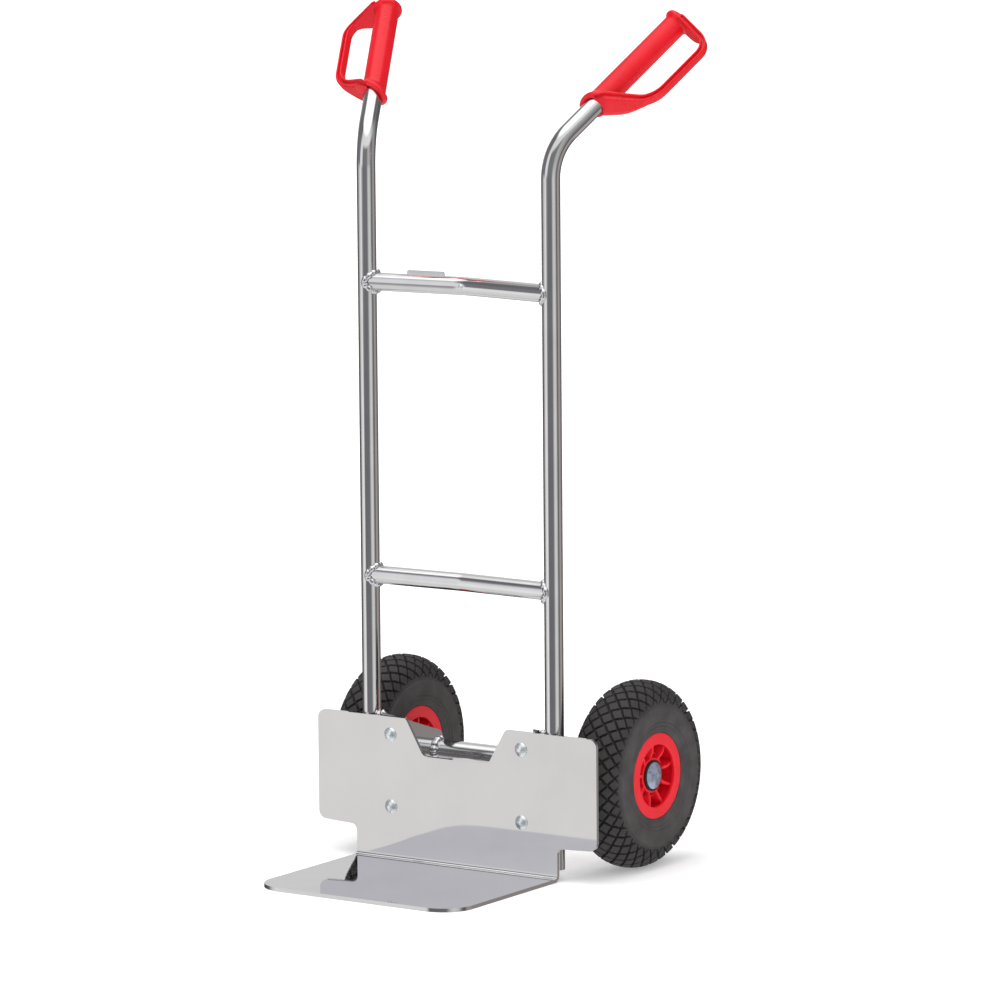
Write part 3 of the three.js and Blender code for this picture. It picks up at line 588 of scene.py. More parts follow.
axle_low, axle_high = (np.array(c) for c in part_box("axle"))
AXLE = (axle_low + axle_high) / 2
axle_tube_high = np.array(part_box("axle_tube")[1])
AXLE_TUBE_RADIUS = 16 * mm
AXLE_TUBE_WALL = 3 * mm

points = np.array([[-axle_tube_high[0], AXLE[1], AXLE[2]], [axle_tube_high[0], AXLE[1], AXLE[2]]])
tangents = np.array([[1.0, 0, 0], [1.0, 0, 0]])
shell, straight = tube_shell(points, tangents, (0.0, 0.0, 1.0), AXLE_TUBE_RADIUS, AXLE_TUBE_WALL)
axle_tube = piece("axle_tube_sleeve", [shell], tube_finish, "frame", lay=straight)
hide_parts("axle_tube")

WEB_INNER = 128.5 * mm
WEB_OUTER = 133.5 * mm
RING_LIFT = 1 * mm
SEAM_FOOT = 60 * mm
SEAM_ABOVE = 4 * mm
SEAM_APART = 4.6 * mm
WEB_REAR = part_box("right_axle_bracket")[1][1]
for side_name, mirror in SIDES.items():
    shells = []
    reach = math.asin((WEB_REAR - AXLE[1]) / (AXLE_TUBE_RADIUS + 2 * mm)) + math.pi / 2 - 0.1
    spread = np.linspace(-reach, reach, 200)
    for face, sense in ((WEB_INNER, -1.0), (WEB_OUTER, 1.0)):
        ring = np.stack(
            [
                np.full_like(spread, face + sense * RING_LIFT),
                AXLE[1] - (AXLE_TUBE_RADIUS + RING_LIFT) * np.cos(spread),
                AXLE[2] + (AXLE_TUBE_RADIUS + RING_LIFT) * np.sin(spread),
            ],
            -1,
        )
        outward = np.stack([np.full_like(spread, sense), -np.cos(spread), np.sin(spread)], -1)
        shells += bead(ring * mirror, outward * mirror, BEAD_RADIUS, False)
    z = np.linspace(SEAM_FOOT, PLATE_TOP + SEAM_ABOVE, 260)
    for sense in (-1.0, 1.0):
        seam = np.stack(
            [
                np.full_like(z, (WEB_OUTER + UPRIGHT_X - UPRIGHT_RADIUS) / 2 + 0.3 * mm),
                np.full_like(z, UPRIGHT_Y + sense * SEAM_APART),
                z,
            ],
            -1,
        )
        outward = np.stack([0 * z, np.full_like(z, sense), 0 * z], -1)
        shells += bead(seam * mirror, outward * mirror, BEAD_RADIUS * 1.15, False)
    piece(side_name + "_bracket_weld", shells, weld_finish, "frame", crease=60.0)

# ------------------------------------------------------------------ tyres
# Foam-filled black tyres of 260 x 85 mm: a smooth sidewall and a tread of square blocks set
# cornerwise in eleven staggered rows, their sides stepped, that die out over the shoulders.

TYRE_RADIUS = 130 * mm
TYRE_HALF = 40.5 * mm
TYRE_WIDEST = 85 * mm
SHOULDER_POWER = 2.25
RIM_FACE = 34.6 * mm
RIM_LIP = 59.5 * mm
TREAD_DEPTH = 4 * mm
BLOCKS_ROUND = 37
BLOCK_SIDE = 12.5 * mm
ROW_PITCH = 11 * mm
FADE = (44 * mm, 60 * mm)
wheel_box = {s: [np.array(c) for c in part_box(s + "_tyre")] for s in SIDES}
WHEEL_X = (wheel_box["right"][0][0] + wheel_box["right"][1][0]) / 2

sweep_angle = np.linspace(0, math.pi / 2, 200)
power = 2 / SHOULDER_POWER
half_x = TYRE_HALF * np.sin(sweep_angle) ** power
half_r = TYRE_WIDEST + (TYRE_RADIUS - TYRE_WIDEST) * np.cos(sweep_angle) ** power
wall_r = np.linspace(TYRE_WIDEST, RIM_LIP + 0.5 * mm, 40)[1:]
drop = (TYRE_WIDEST - wall_r) / (TYRE_WIDEST - RIM_LIP)
wall_x = TYRE_HALF - (TYRE_HALF - RIM_FACE) * drop**1.7
profile = np.stack([np.concatenate([half_x, wall_x]), np.concatenate([half_r, wall_r])], -1)
girth = np.concatenate([[0], np.cumsum(np.linalg.norm(np.diff(profile, axis=0), axis=1))])


def tyre_place(across, proud):
    """(axial, radius) at a distance across the tread from the crown: the profile's point there
    plus proud x its normal, which is its slope over 0.4 mm each way turned by a right angle."""
    s = np.abs(across)
    x, r = np.interp(s, girth, profile[:, 0]), np.interp(s, girth, profile[:, 1])
    step = 0.4 * mm
    ahead = np.interp(s + step, girth, profile[:, 0]), np.interp(s + step, girth, profile[:, 1])
    behind_x = np.interp(np.abs(s - step), girth, profile[:, 0])
    behind_r = np.interp(s - step, girth, profile[:, 1])
    run = ahead[0] - np.where(s < step, -behind_x, behind_x)
    fall = ahead[1] - behind_r
    size = np.hypot(run, fall)
    return np.sign(across) * (x - proud * fall / size), r + proud * run / size


def smooth(x, low, high):
    """0 below low, 1 above high, and 3 t^2 - 2 t^3 between."""
    t = np.clip((x - low) / (high - low), 0, 1)
    return t * t * (3 - 2 * t)


def about_axle(axial, radius, turn, centre):
    """Points about the axle: x is the axial place, y is radius x sin(turn), and z is radius x
    cos(turn)."""
    return np.stack(
        [
            centre[0] + axial + 0 * turn,
            centre[1] + radius * np.sin(turn),
            centre[2] + radius * np.cos(turn),
        ],
        -1,
    )


# Tyre compound: a dull black with a brownish grey cast, skin moulded with a fine grain, and dust
# greying the high spots of the tread. The sunk tread floor and the block sides take a darker groove
# colour, which is painted shade. lay holds each spot's share between that painted groove shade and
# the dusty rubber.
tyre_finish, set_tyre = finish_of("moulded_black_tyre_rubber", {"Specular IOR Level": 0.35})
tyre_spot = node(tyre_finish, "ShaderNodeTexCoord").outputs["Object"]
grain = node(
    tyre_finish,
    "ShaderNodeTexNoise",
    {"Vector": tyre_spot, "Scale": 900.0, "Detail": 2.0},
).outputs["Fac"]
scuff = node(
    tyre_finish,
    "ShaderNodeTexNoise",
    {"Vector": tyre_spot, "Scale": 38.0, "Detail": 6.0},
).outputs["Fac"]
dust_and_groove_shade = node(tyre_finish, "ShaderNodeAttribute", attribute_name="lay").outputs["Fac"]
rubber = node(
    tyre_finish,
    "ShaderNodeValToRGB",
    {"Fac": scuff},
    stops=[(0.3, linear("#403E3E")), (0.75, linear("#545151"))],
).outputs["Color"]
set_tyre(
    {
        "Base Color": node(
            tyre_finish,
            # The groove colour #2A2828 is painted shade: darker rubber wherever the tread is sunk.
            "ShaderNodeMix",
            {0: dust_and_groove_shade, 6: linear("#2A2828"), 7: rubber},
            data_type="RGBA",
        ).outputs[2],
        "Roughness": node(
            tyre_finish,
            "ShaderNodeValToRGB",
            {"Fac": scuff},
            stops=[(0.3, grey(0.55)), (0.8, grey(0.78))],
        ).outputs["Color"],
        "Normal": node(
            tyre_finish, "ShaderNodeBump", {"Height": grain, "Strength": 0.35, "Distance": 0.0004}
        ).outputs["Normal"],
    }
)

across = np.linspace(-girth[-1], girth[-1], 241)
sunk = -TREAD_DEPTH * (1 - smooth(np.abs(across), *FADE))
carcass_x, carcass_r = tyre_place(across, sunk)
from_mark = carcass_r[:, None] - np.array([70, 75, 97]) * mm
ring_mark = 1 * mm * np.exp(-((from_mark / (0.9 * mm)) ** 2)).sum(1)
carcass_x = carcass_x - np.sign(across) * ring_mark
seat = np.array(
    [
        (RIM_FACE - 4.3 * mm, RIM_LIP + 0.3 * mm),
        (RIM_FACE - 5.9 * mm, 52.3 * mm),
        (-RIM_FACE + 5.9 * mm, 52.3 * mm),
        (-RIM_FACE + 4.3 * mm, RIM_LIP + 0.3 * mm),
    ]
)
carcass_x = np.concatenate([carcass_x, seat[:, 0]])
carcass_r = np.concatenate([carcass_r, seat[:, 1]])
# Painted shade: the sunk tread floor between the blocks takes the darker groove colour (0), while
# the sidewall and the seat take the rubber (1).
carcass_dust_and_groove_shade = np.concatenate([smooth(np.abs(across), *FADE), np.full(len(seat), 1.0)])

turns = np.arange(144) * 2 * math.pi / 144
corner = np.array([(1.0, 0.0), (0.0, 1.0), (-1.0, 0.0), (0.0, -1.0)])
step_along = np.array([[0.05], [0.47], [0.53], [0.95]])
step_out = np.array([[0.02], [0.02], [-0.02], [-0.02]])
side_points = np.concatenate(
    [
        here + (there - here) * step_along + (here + there) * step_out
        for here, there in zip(corner, np.roll(corner, -1, 0))
    ]
)
half_diagonal = BLOCK_SIDE / math.sqrt(2)
rings = [(1.06, -0.25), (1.0, 0.8), (0.92, 1.0), (0.0, 1.0)]
block_u = np.concatenate([side_points[:, 0] * scale for scale, _ in rings]) * half_diagonal
block_v = np.concatenate([side_points[:, 1] * scale for scale, _ in rings]) * half_diagonal
block_h = np.concatenate([np.full(16, h) for _, h in rings])
row_index = np.arange(-5, 6)
row_of, turn_of = np.meshgrid(row_index, np.arange(BLOCKS_ROUND), indexing="ij")
row_of, turn_of = row_of.ravel(), turn_of.ravel()
angle_of = (turn_of + 0.5 * (row_of % 2)) * 2 * math.pi / BLOCKS_ROUND
block_across = row_of[:, None] * ROW_PITCH + block_v[None, :]
block_turn = angle_of[:, None] + block_u[None, :] / TYRE_RADIUS
block_top = -TREAD_DEPTH * 0.55 * smooth(np.abs(block_across), *FADE)
block_bottom = -TREAD_DEPTH - 0.8 * mm
proud = np.where(
    block_h > 0,
    -TREAD_DEPTH * (1 - block_h) + block_top,
    block_bottom + block_top,
)
block_x, block_r = tyre_place(block_across, proud)
# Painted shade and dust: block sides and floors take mostly the painted groove shade (0.1), and
# block tops go from 0.4 to 0.9, lighter over the shoulders.
block_dust_and_groove_shade = np.where(block_h[None, :] > 0.5, 0.4 + 0.5 * smooth(np.abs(block_across), *FADE), 0.1)
heights = np.concatenate([np.repeat(carcass_dust_and_groove_shade, len(turns)), block_dust_and_groove_shade.ravel()])
block_faces = grid_faces(len(rings), 16)
block_starts = np.arange(len(row_of)) * len(block_u)
block_faces = (block_faces[None] + block_starts[:, None, None]).reshape(-1, 4)

for side_name, mirror in SIDES.items():
    centre = np.array([WHEEL_X * mirror[0], AXLE[1], AXLE[2]])
    skin = about_axle(carcass_x[:, None], carcass_r[:, None], turns[None, :], centre)
    blocks = about_axle(block_x, block_r, block_turn, centre)
    tyre = piece(
        side_name + "_tyre_tread",
        [
            (skin.reshape(-1, 3), grid_faces(len(carcass_x), 144, close_rows=True)),
            (blocks.reshape(-1, 3), block_faces),
        ],
        tyre_finish,
        side_name + "_wheel",
        crease=45.0,
        lay=np.repeat(heights[:, None], 3, 1),
    )
    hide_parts(side_name + "_tyre")

# ------------------------------------------------------------------ rims
# Red moulded plastic rims: a flange, a barrel, a web in the middle, nine ribs each side whose top
# edges swell outwards, a low collar, and a long hub.

RIM_SEAT = 52 * mm
BARREL_INNER = 47.5 * mm
FACE_INNER = 43.5 * mm
FACE_THICK = 5 * mm
DISC_HALF = 3 * mm
HUB_HALF = 26.3 * mm
HUB_RADIUS = 24.5 * mm
HUB_BORE = 15.3 * mm
COLLAR_RADIUS = 33 * mm
COLLAR_WALL = 3 * mm
COLLAR_HALF = 21 * mm
RIB_COUNT = 9
RIB_THICK = 4 * mm
RIB_START = math.radians(-7)


def softened(corners, radius, steps=5):
    """A closed loop of (axial, radius) corners, each rounded by an arc."""
    loop = [(*corners[-1], 0)] + [(*c, radius) for c in corners] + [(*corners[0], 0)]
    return rounded_line(loop, steps)[1:-1]


def turned(loop, centre, sides=96, start=0.0):
    """A closed loop of (axial, radius) points turned about the axle in equal steps."""
    turn = start + np.arange(sides) * 2 * math.pi / sides
    place = about_axle(loop[:, 0][:, None], loop[:, 1][:, None], turn[None, :], centre)
    return place.reshape(-1, 3), grid_faces(len(loop), sides, close_rows=True)


# Red polypropylene, moulded with a fine satin grain: soft broad highlights, deeper red in the
# pockets, faint flow marks.
rim_finish, set_rim = finish_of("moulded_red_polypropylene", {"IOR": 1.49})
rim_spot = node(rim_finish, "ShaderNodeTexCoord").outputs["Object"]
rim_grain = node(
    rim_finish,
    "ShaderNodeTexNoise",
    {"Vector": rim_spot, "Scale": 1100.0, "Detail": 2.0},
).outputs["Fac"]
rim_flow = node(
    rim_finish,
    "ShaderNodeTexNoise",
    {"Vector": rim_spot, "Scale": 26.0, "Detail": 4.0},
).outputs["Fac"]
set_rim(
    {
        "Base Color": node(
            rim_finish,
            "ShaderNodeValToRGB",
            {"Fac": rim_flow},
            stops=[(0.3, linear("#EA1226")), (0.7, linear("#F2192C"))],
        ).outputs["Color"],
        "Roughness": node(
            rim_finish,
            "ShaderNodeValToRGB",
            {"Fac": rim_flow},
            stops=[(0.3, grey(0.36)), (0.75, grey(0.46))],
        ).outputs["Color"],
        "Normal": node(
            rim_finish,
            "ShaderNodeBump",
            {"Height": rim_grain, "Strength": 0.12, "Distance": 0.0002},
        ).outputs["Normal"],
    }
)

half_loop = [
    (RIM_FACE - 5.6 * mm, RIM_SEAT),
    (RIM_FACE - 4 * mm, RIM_LIP),
    (RIM_FACE, RIM_LIP),
    (RIM_FACE, FACE_INNER),
    (RIM_FACE - FACE_THICK, FACE_INNER),
    (RIM_FACE - FACE_THICK, BARREL_INNER),
    (DISC_HALF, BARREL_INNER),
    (DISC_HALF, COLLAR_RADIUS),
    (COLLAR_HALF, COLLAR_RADIUS),
    (COLLAR_HALF, COLLAR_RADIUS - COLLAR_WALL),
    (DISC_HALF, COLLAR_RADIUS - COLLAR_WALL),
    (DISC_HALF, HUB_RADIUS),
    (HUB_HALF, HUB_RADIUS),
    (HUB_HALF, HUB_BORE),
]
rim_loop = softened(half_loop + [(-x, r) for x, r in reversed(half_loop)], 0.9 * mm)

rib_r = np.linspace(HUB_RADIUS - 3 * mm, BARREL_INNER + 1.5 * mm, 15)
rib_share = (rib_r - rib_r[0]) / (rib_r[-1] - rib_r[0])
rib_top = HUB_HALF - 2 * mm + 3 * mm * np.sin(rib_share * math.pi) + 4.6 * mm * rib_share
rib_bow = 2.2 * mm * np.sin(rib_share * math.pi)
fillet = np.array(
    [
        (-1.0, 0.0),
        (-1.0, 0.55),
        (-0.8, 0.85),
        (-0.45, 1.0),
        (0.45, 1.0),
        (0.8, 0.85),
        (1.0, 0.55),
        (1.0, 0.0),
    ]
)


def rib_shell(turn, sense, centre):
    """A rib from hub to barrel: at each radius a round-topped section from the web to the rib's
    top line, bowed sideways by a sine of the share of its run."""
    u = RIB_THICK / 2 * fillet[:, 0][None, :] + rib_bow[:, None]
    base = DISC_HALF - 1 * mm
    tip = RIB_THICK / 2
    x = np.where(
        fillet[:, 1][None, :] > 0,
        rib_top[:, None] - tip + tip * fillet[:, 1][None, :],
        base,
    )
    axial = sense * x
    ys = u * math.cos(turn) + rib_r[:, None] * math.sin(turn)
    zs = -u * math.sin(turn) + rib_r[:, None] * math.cos(turn)
    place = np.stack([centre[0] + axial, centre[1] + ys, centre[2] + zs], -1)
    ends = []
    for row in (0, len(rib_r) - 1):
        ends.append((place[row], np.arange(8)[None, :]))
    return [(place.reshape(-1, 3), grid_faces(len(rib_r), 8))] + ends


for side_name, mirror in SIDES.items():
    centre = np.array([WHEEL_X * mirror[0], AXLE[1], AXLE[2]])
    shells = [turned(rim_loop, centre, 112)]
    for i in range(RIB_COUNT):
        turn = RIB_START * mirror[0] + i * 2 * math.pi / RIB_COUNT
        for sense in (-1.0, 1.0):
            shells += rib_shell(turn, sense, centre)
    rim = piece(
        side_name + "_rim_moulding",
        shells,
        rim_finish,
        side_name + "_wheel",
        crease=40.0,
    )
    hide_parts(side_name + "_rim")

# ------------------------------------------------------------------ hub rings, spacers and caps
# Black nylon rings close both ends of the hub, a zinc-plated washer spaces it from the axle tube,
# and a domed zinc-plated cap is pushed over the axle's end.

# Glass-filled black nylon: near black with a soft sheen.
nylon_finish, set_nylon = finish_of(
    "moulded_black_nylon", {"Base Color": linear("#161618"), "IOR": 1.53}
)
nylon_spot = node(nylon_finish, "ShaderNodeTexCoord").outputs["Object"]
nylon_grain = node(
    nylon_finish,
    "ShaderNodeTexNoise",
    {"Vector": nylon_spot, "Scale": 1300.0, "Detail": 2.0},
).outputs["Fac"]
set_nylon(
    {
        "Roughness": node(
            nylon_finish,
            "ShaderNodeValToRGB",
            {"Fac": nylon_grain},
            stops=[(0.3, grey(0.3)), (0.7, grey(0.42))],
        ).outputs["Color"],
        "Normal": node(
            nylon_finish,
            "ShaderNodeBump",
            {"Height": nylon_grain, "Strength": 0.1, "Distance": 0.0002},
        ).outputs["Normal"],
    }
)

# Bright zinc plate with a blue passivate: a cool silver with cloudy patches.
zinc_finish, set_zinc = finish_of("blue_passivated_zinc_plate", {"Metallic": 0.8})
zinc_spot = node(zinc_finish, "ShaderNodeTexCoord").outputs["Object"]
zinc_cloud = node(
    zinc_finish,
    "ShaderNodeTexNoise",
    {"Vector": zinc_spot, "Scale": 130.0, "Detail": 5.0},
).outputs["Fac"]
set_zinc(
    {
        "Base Color": node(
            zinc_finish,
            "ShaderNodeValToRGB",
            {"Fac": zinc_cloud},
            stops=[(0.32, linear("#A4B4D2")), (0.68, linear("#D6E2F4"))],
        ).outputs["Color"],
        "Roughness": node(
            zinc_finish,
            "ShaderNodeValToRGB",
            {"Fac": zinc_cloud},
            stops=[(0.3, grey(0.24)), (0.75, grey(0.42))],
        ).outputs["Color"],
        "Normal": node(
            zinc_finish,
            "ShaderNodeBump",
            {"Height": zinc_cloud, "Strength": 0.08, "Distance": 0.0005},
        ).outputs["Normal"],
    }
)

AXLE_BORE = 10.3 * mm
CAP_RADIUS = 18.5 * mm
CAP_EDGE = 0.8 * mm
CAP_WALL = 3 * mm
RING_RADIUS = 21.5 * mm
RING_NECK = 15.1 * mm
RING_FLANGE = 2.3 * mm
SPACER_RADIUS = 17 * mm


def dome_line(radius, height, count=14):
    """(depth, radius) along a cap of a sphere, from crown to edge: R (1 - cos t) and R sin t, where
    R is (radius^2 + height^2) / (2 height)."""
    sphere = (radius**2 + height**2) / (2 * height)
    t = np.linspace(0, math.asin(radius / sphere), count)
    return np.stack([sphere * (1 - np.cos(t)), sphere * np.sin(t)], -1)


for side_name, mirror in SIDES.items():
    sense = mirror[0]
    centre = np.array([0.0, AXLE[1], AXLE[2]])
    low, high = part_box(side_name + "_axle_cap")
    inner, crown = (low[0], high[0]) if sense > 0 else (high[0], low[0])
    line = dome_line(CAP_RADIUS, abs(crown - inner) - CAP_EDGE, 22)
    line[:, 0] += 0.9 * mm * (1 - smooth(line[:, 1], 0.8 * mm, 2.6 * mm))
    floor_x = crown - sense * CAP_WALL
    profile_x = np.concatenate([[floor_x, floor_x, inner, inner], crown - sense * line[::-1, 0]])
    profile_r = np.concatenate([[0, AXLE_BORE, AXLE_BORE, CAP_RADIUS], line[::-1, 1]])
    loop = np.stack([profile_x, profile_r], -1)
    turn = np.arange(64) * 2 * math.pi / 64
    place = about_axle(loop[:, 0][:, None], loop[:, 1][:, None], turn[None, :], centre)
    cap = piece(
        side_name + "_axle_cap_dome",
        [(place.reshape(-1, 3), grid_faces(len(loop), 64))],
        zinc_finish,
        "frame",
    )
    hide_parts(side_name + "_axle_cap")
    for end in ("outer", "inner"):
        name = f"{side_name}_{end}_end_ring"
        low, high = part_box(name)
        faces_right = (sense > 0) == (end == "outer")
        outward_face, inward_face = (high[0], low[0]) if faces_right else (low[0], high[0])
        flange = outward_face + np.sign(inward_face - outward_face) * RING_FLANGE
        loop = softened(
            [
                (inward_face, AXLE_BORE),
                (inward_face, RING_NECK),
                (flange, RING_NECK),
                (flange, RING_RADIUS),
                (outward_face, RING_RADIUS),
                (outward_face, AXLE_BORE),
            ],
            0.5 * mm,
            3,
        )
        ring = piece(
            name + "_moulding",
            [turned(loop, centre, 64)],
            nylon_finish,
            side_name + "_wheel",
        )
        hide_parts(name)
    low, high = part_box(side_name + "_spacer_washer")
    loop = softened(
        [
            (low[0], AXLE_BORE),
            (low[0], SPACER_RADIUS),
            (high[0], SPACER_RADIUS),
            (high[0], AXLE_BORE),
        ],
        0.4 * mm,
        3,
    )
    spacer = piece(
        side_name + "_spacer_ring",
        [turned(loop, centre, 64)],
        zinc_finish,
        "frame",
    )
    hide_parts(side_name + "_spacer_washer")

# ------------------------------------------------------------------ grips
# Red moulded plastic grips, pushed over the handles: a sleeve with a slanted collar, a round end
# cap, and a D-shaped hand guard whose upper edge has a groove between two lips.

GRIP_START = 91 * mm
GRIP_RADIUS = 16.5 * mm
RING_OUT = 20.5 * mm
COLLAR_SLANT = math.radians(19)
COLLAR_LEAN = math.radians(24)
GUARD_ROLL = math.radians(-27)
GUARD_REACH = 69.3 * mm
GUARD_THICK = 9 * mm

guard_way = (
    level_outward * math.cos(-GUARD_ROLL)
    + np.cross(handle_direction, level_outward) * math.sin(-GUARD_ROLL)
)
band_way = np.cross(handle_direction, guard_way)
grip_origin = handle_corner + GRIP_START * handle_direction


def on_grip(up, out, over):
    """Places at origin + up x handle direction + out x guard direction + over x their normal."""
    return (
        grip_origin
        + np.asarray(up)[..., None] * handle_direction
        + np.asarray(out)[..., None] * guard_way
        + np.asarray(over)[..., None] * band_way
    )


# Red moulded plastic with a satin skin: a saturated red whose highlights go towards pink, and a
# fine eroded grain about 0.3 mm across, drawn coarser so that it shows.
grip_finish, set_grip = finish_of(
    "moulded_red_satin_plastic", {"IOR": 1.5, "Specular IOR Level": 0.4}
)
grip_spot = node(grip_finish, "ShaderNodeTexCoord").outputs["Object"]
grip_grain = node(
    grip_finish,
    "ShaderNodeTexNoise",
    {"Vector": grip_spot, "Scale": 1200.0, "Detail": 2.0},
).outputs["Fac"]
grip_tone = node(
    grip_finish,
    "ShaderNodeTexNoise",
    {"Vector": grip_spot, "Scale": 16.0, "Detail": 4.0},
).outputs["Fac"]
set_grip(
    {
        "Base Color": node(
            grip_finish,
            "ShaderNodeValToRGB",
            {"Fac": grip_tone},
            stops=[(0.3, linear("#DA0B1C")), (0.7, linear("#E41125"))],
        ).outputs["Color"],
        "Roughness": node(
            grip_finish,
            "ShaderNodeValToRGB",
            {"Fac": grip_tone},
            stops=[(0.3, grey(0.25)), (0.75, grey(0.32))],
        ).outputs["Color"],
        "Normal": node(
            grip_finish,
            "ShaderNodeBump",
            {"Height": grip_grain, "Strength": 0.15, "Distance": 0.0002},
        ).outputs["Normal"],
    }
)

phi = np.arange(72) * 2 * math.pi / 72
slant_rise = math.tan(COLLAR_SLANT)
lean_rise = math.tan(COLLAR_LEAN)
mouth = RING_OUT * (
    (np.cos(phi) - 1) * slant_rise + np.maximum(-np.sin(phi), 0) * lean_rise
)
mouth = mouth * 0.96
sleeve_line = np.array(
    [
        (30, 13.35), (4, 13.35), (0.6, 13.5), (0.0, 14.1), (0.1, 16.6), (0.9, 18.9),
        (2.6, 20.1), (4.8, 20.4),
        (7.0, 19.9), (9.2, 18.6), (11.5, 17.3), (14, 16.65), (18, 16.5), (45, 16.5),
        (90, 16.5), (130, 16.5),
        (158, 16.5), (161, 16.6), (163, 17.2), (164.6, 18.6), (165.8, 19.6), (167.4, 20.1),
        (169.4, 20.15),
        (171.3, 19.7), (172.7, 18.8), (173.5, 17.4), (173.9, 15.0), (174, 10), (174, 5), (174, 0),
    ]
) * mm
outer_rows = sleeve_line[:, 0][:, None]
follow = 1 - smooth(outer_rows, 4 * mm, 60 * mm)
up = outer_rows + mouth[None, :] * follow
at_guard = smooth(np.cos(phi), 0.1, 0.8)[None, :] * (outer_rows < 40 * mm)
sleeve_radius = sleeve_line[:, 1][:, None]
sleeve_radius = sleeve_radius - np.maximum(sleeve_radius - GRIP_RADIUS, 0) * at_guard
out = sleeve_radius * np.cos(phi)[None, :]
over = sleeve_radius * np.sin(phi)[None, :]
sleeve_place = on_grip(up, out, over)


def evenly(line, count):
    """A polyline's points at equal shares of its length."""
    lengths = np.concatenate([[0], np.cumsum(np.linalg.norm(np.diff(line, axis=0), axis=1))])
    even = np.linspace(0, lengths[-1], count)
    return np.stack([np.interp(even, lengths, line[:, k]) for k in (0, 1)], -1)


guard_outer = evenly(
    rounded_line(
        [
            (-6.2 * mm, 2 * mm, 0),
            (2.5 * mm, 15.5 * mm, 25 * mm),
            (48 * mm, GUARD_REACH, 46 * mm),
            (166 * mm, GUARD_REACH, 28 * mm),
            (173.6 * mm, 10.2 * mm, 0),
        ],
        30,
    ),
    140,
)
guard_inner = evenly(
    rounded_line(
        [
            (9 * mm, 2 * mm, 0),
            (16 * mm, 8.2 * mm, 10 * mm),
            (55 * mm, GUARD_REACH - GUARD_THICK, 36 * mm),
            (158 * mm, GUARD_REACH - GUARD_THICK, 20 * mm),
            (165.5 * mm, 8.2 * mm, 0),
        ],
        30,
    ),
    140,
)
path = (guard_outer + guard_inner) / 2
outboard = (guard_outer - guard_inner) / 2
reach_mm = path[:, 1] / mm
half_width = np.interp(reach_mm, [13.4, 26.7, 33, 40, 47, 53.3], [20, 15.2, 12.6, 10, 7.8, 6.3]) * mm
lower_width = np.interp(reach_mm, [13.4, 26.7, 33, 40, 47, 56], [16, 18, 17.5, 15, 11, 6.3]) * mm

# The band's section as (share of the half thickness, share of the half width, inset in mm): the
# edge towards the viewer's side has two lips and a groove, the other edge is plainly rounded.
band = np.array(
    [
        (-1.0, -1.0, 1.6), (-0.93, -1.0, 0.5), (-0.75, -1.0, 0.0), (-0.55, -1.0, 0.1),
        (-0.42, -1.0, 0.8), (-0.38, -1.0, 3.0),
        (-0.3, -1.0, 3.8), (0.0, -1.0, 4.0), (0.3, -1.0, 3.8), (0.38, -1.0, 3.0),
        (0.42, -1.0, 0.8), (0.55, -1.0, 0.1),
        (0.75, -1.0, 0.0), (0.93, -1.0, 0.5), (1.0, -1.0, 1.6), (1.0, -0.5, 0.0),
        (1.0, 0.0, 0.0), (1.0, 0.5, 0.0),
        (1.0, 1.0, -1.6), (0.9, 1.0, -0.5), (0.65, 1.0, 0.0), (0.0, 1.0, 0.15),
        (-0.65, 1.0, 0.0), (-0.9, 1.0, -0.5),
        (-1.0, 1.0, -1.6), (-1.0, 0.5, 0.0), (-1.0, 0.0, 0.0), (-1.0, -0.5, 0.0),
    ]
)
width_there = np.where(band[:, 1][None, :] > 0, lower_width[:, None], half_width[:, None])
band_over = band[:, 1][None, :] * width_there + band[:, 2][None, :] * mm
band_up = path[:, 0][:, None] + band[:, 0][None, :] * outboard[:, 0][:, None]
band_out = path[:, 1][:, None] + band[:, 0][None, :] * outboard[:, 1][:, None]
mouth_slant = (band_out - RING_OUT) * slant_rise
mouth_lean = np.maximum(-band_over, 0) * lean_rise / math.cos(COLLAR_SLANT)
guard_start = mouth_slant + mouth_lean + 0.3 * mm
guard_place = on_grip(np.maximum(band_up, guard_start), band_out, band_over)

for side_name, mirror in SIDES.items():
    shells = [
        (sleeve_place.reshape(-1, 3) * mirror, grid_faces(len(sleeve_line), 72)),
        (guard_place.reshape(-1, 3) * mirror, grid_faces(len(path), len(band))),
        (guard_place[0] * mirror, np.arange(len(band))[None, :]),
        (guard_place[-1] * mirror, np.arange(len(band))[None, :]),
    ]
    grip = piece(
        side_name + "_grip_moulding",
        shells,
        grip_finish,
        "frame",
        crease=50.0,
    )
    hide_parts(side_name + "_grip")

# ------------------------------------------------------------------ bolts and rivets
# Domed zinc-plated bolts hold the plate to the brackets, with washers and lock nuts behind it;
# blind rivets hold the small plate and the crossbar's middle.

BOLT_HEAD_RADIUS = 10 * mm
BOLT_HEAD_RISE = 4.2 * mm


def along_y(line, centre, sense=1.0, sides=48):
    """(depth, radius) points turned about a line along Y through a centre: x is radius x cos(turn),
    z is radius x sin(turn), y is the depth."""
    turn = np.arange(sides) * 2 * math.pi / sides
    place = np.stack(
        [
            centre[0] + line[:, 1][:, None] * np.cos(turn)[None, :],
            centre[1] + sense * line[:, 0][:, None] + 0 * turn[None, :],
            centre[2] + line[:, 1][:, None] * np.sin(turn)[None, :],
        ],
        -1,
    )
    return place.reshape(-1, 3), grid_faces(len(line), sides)


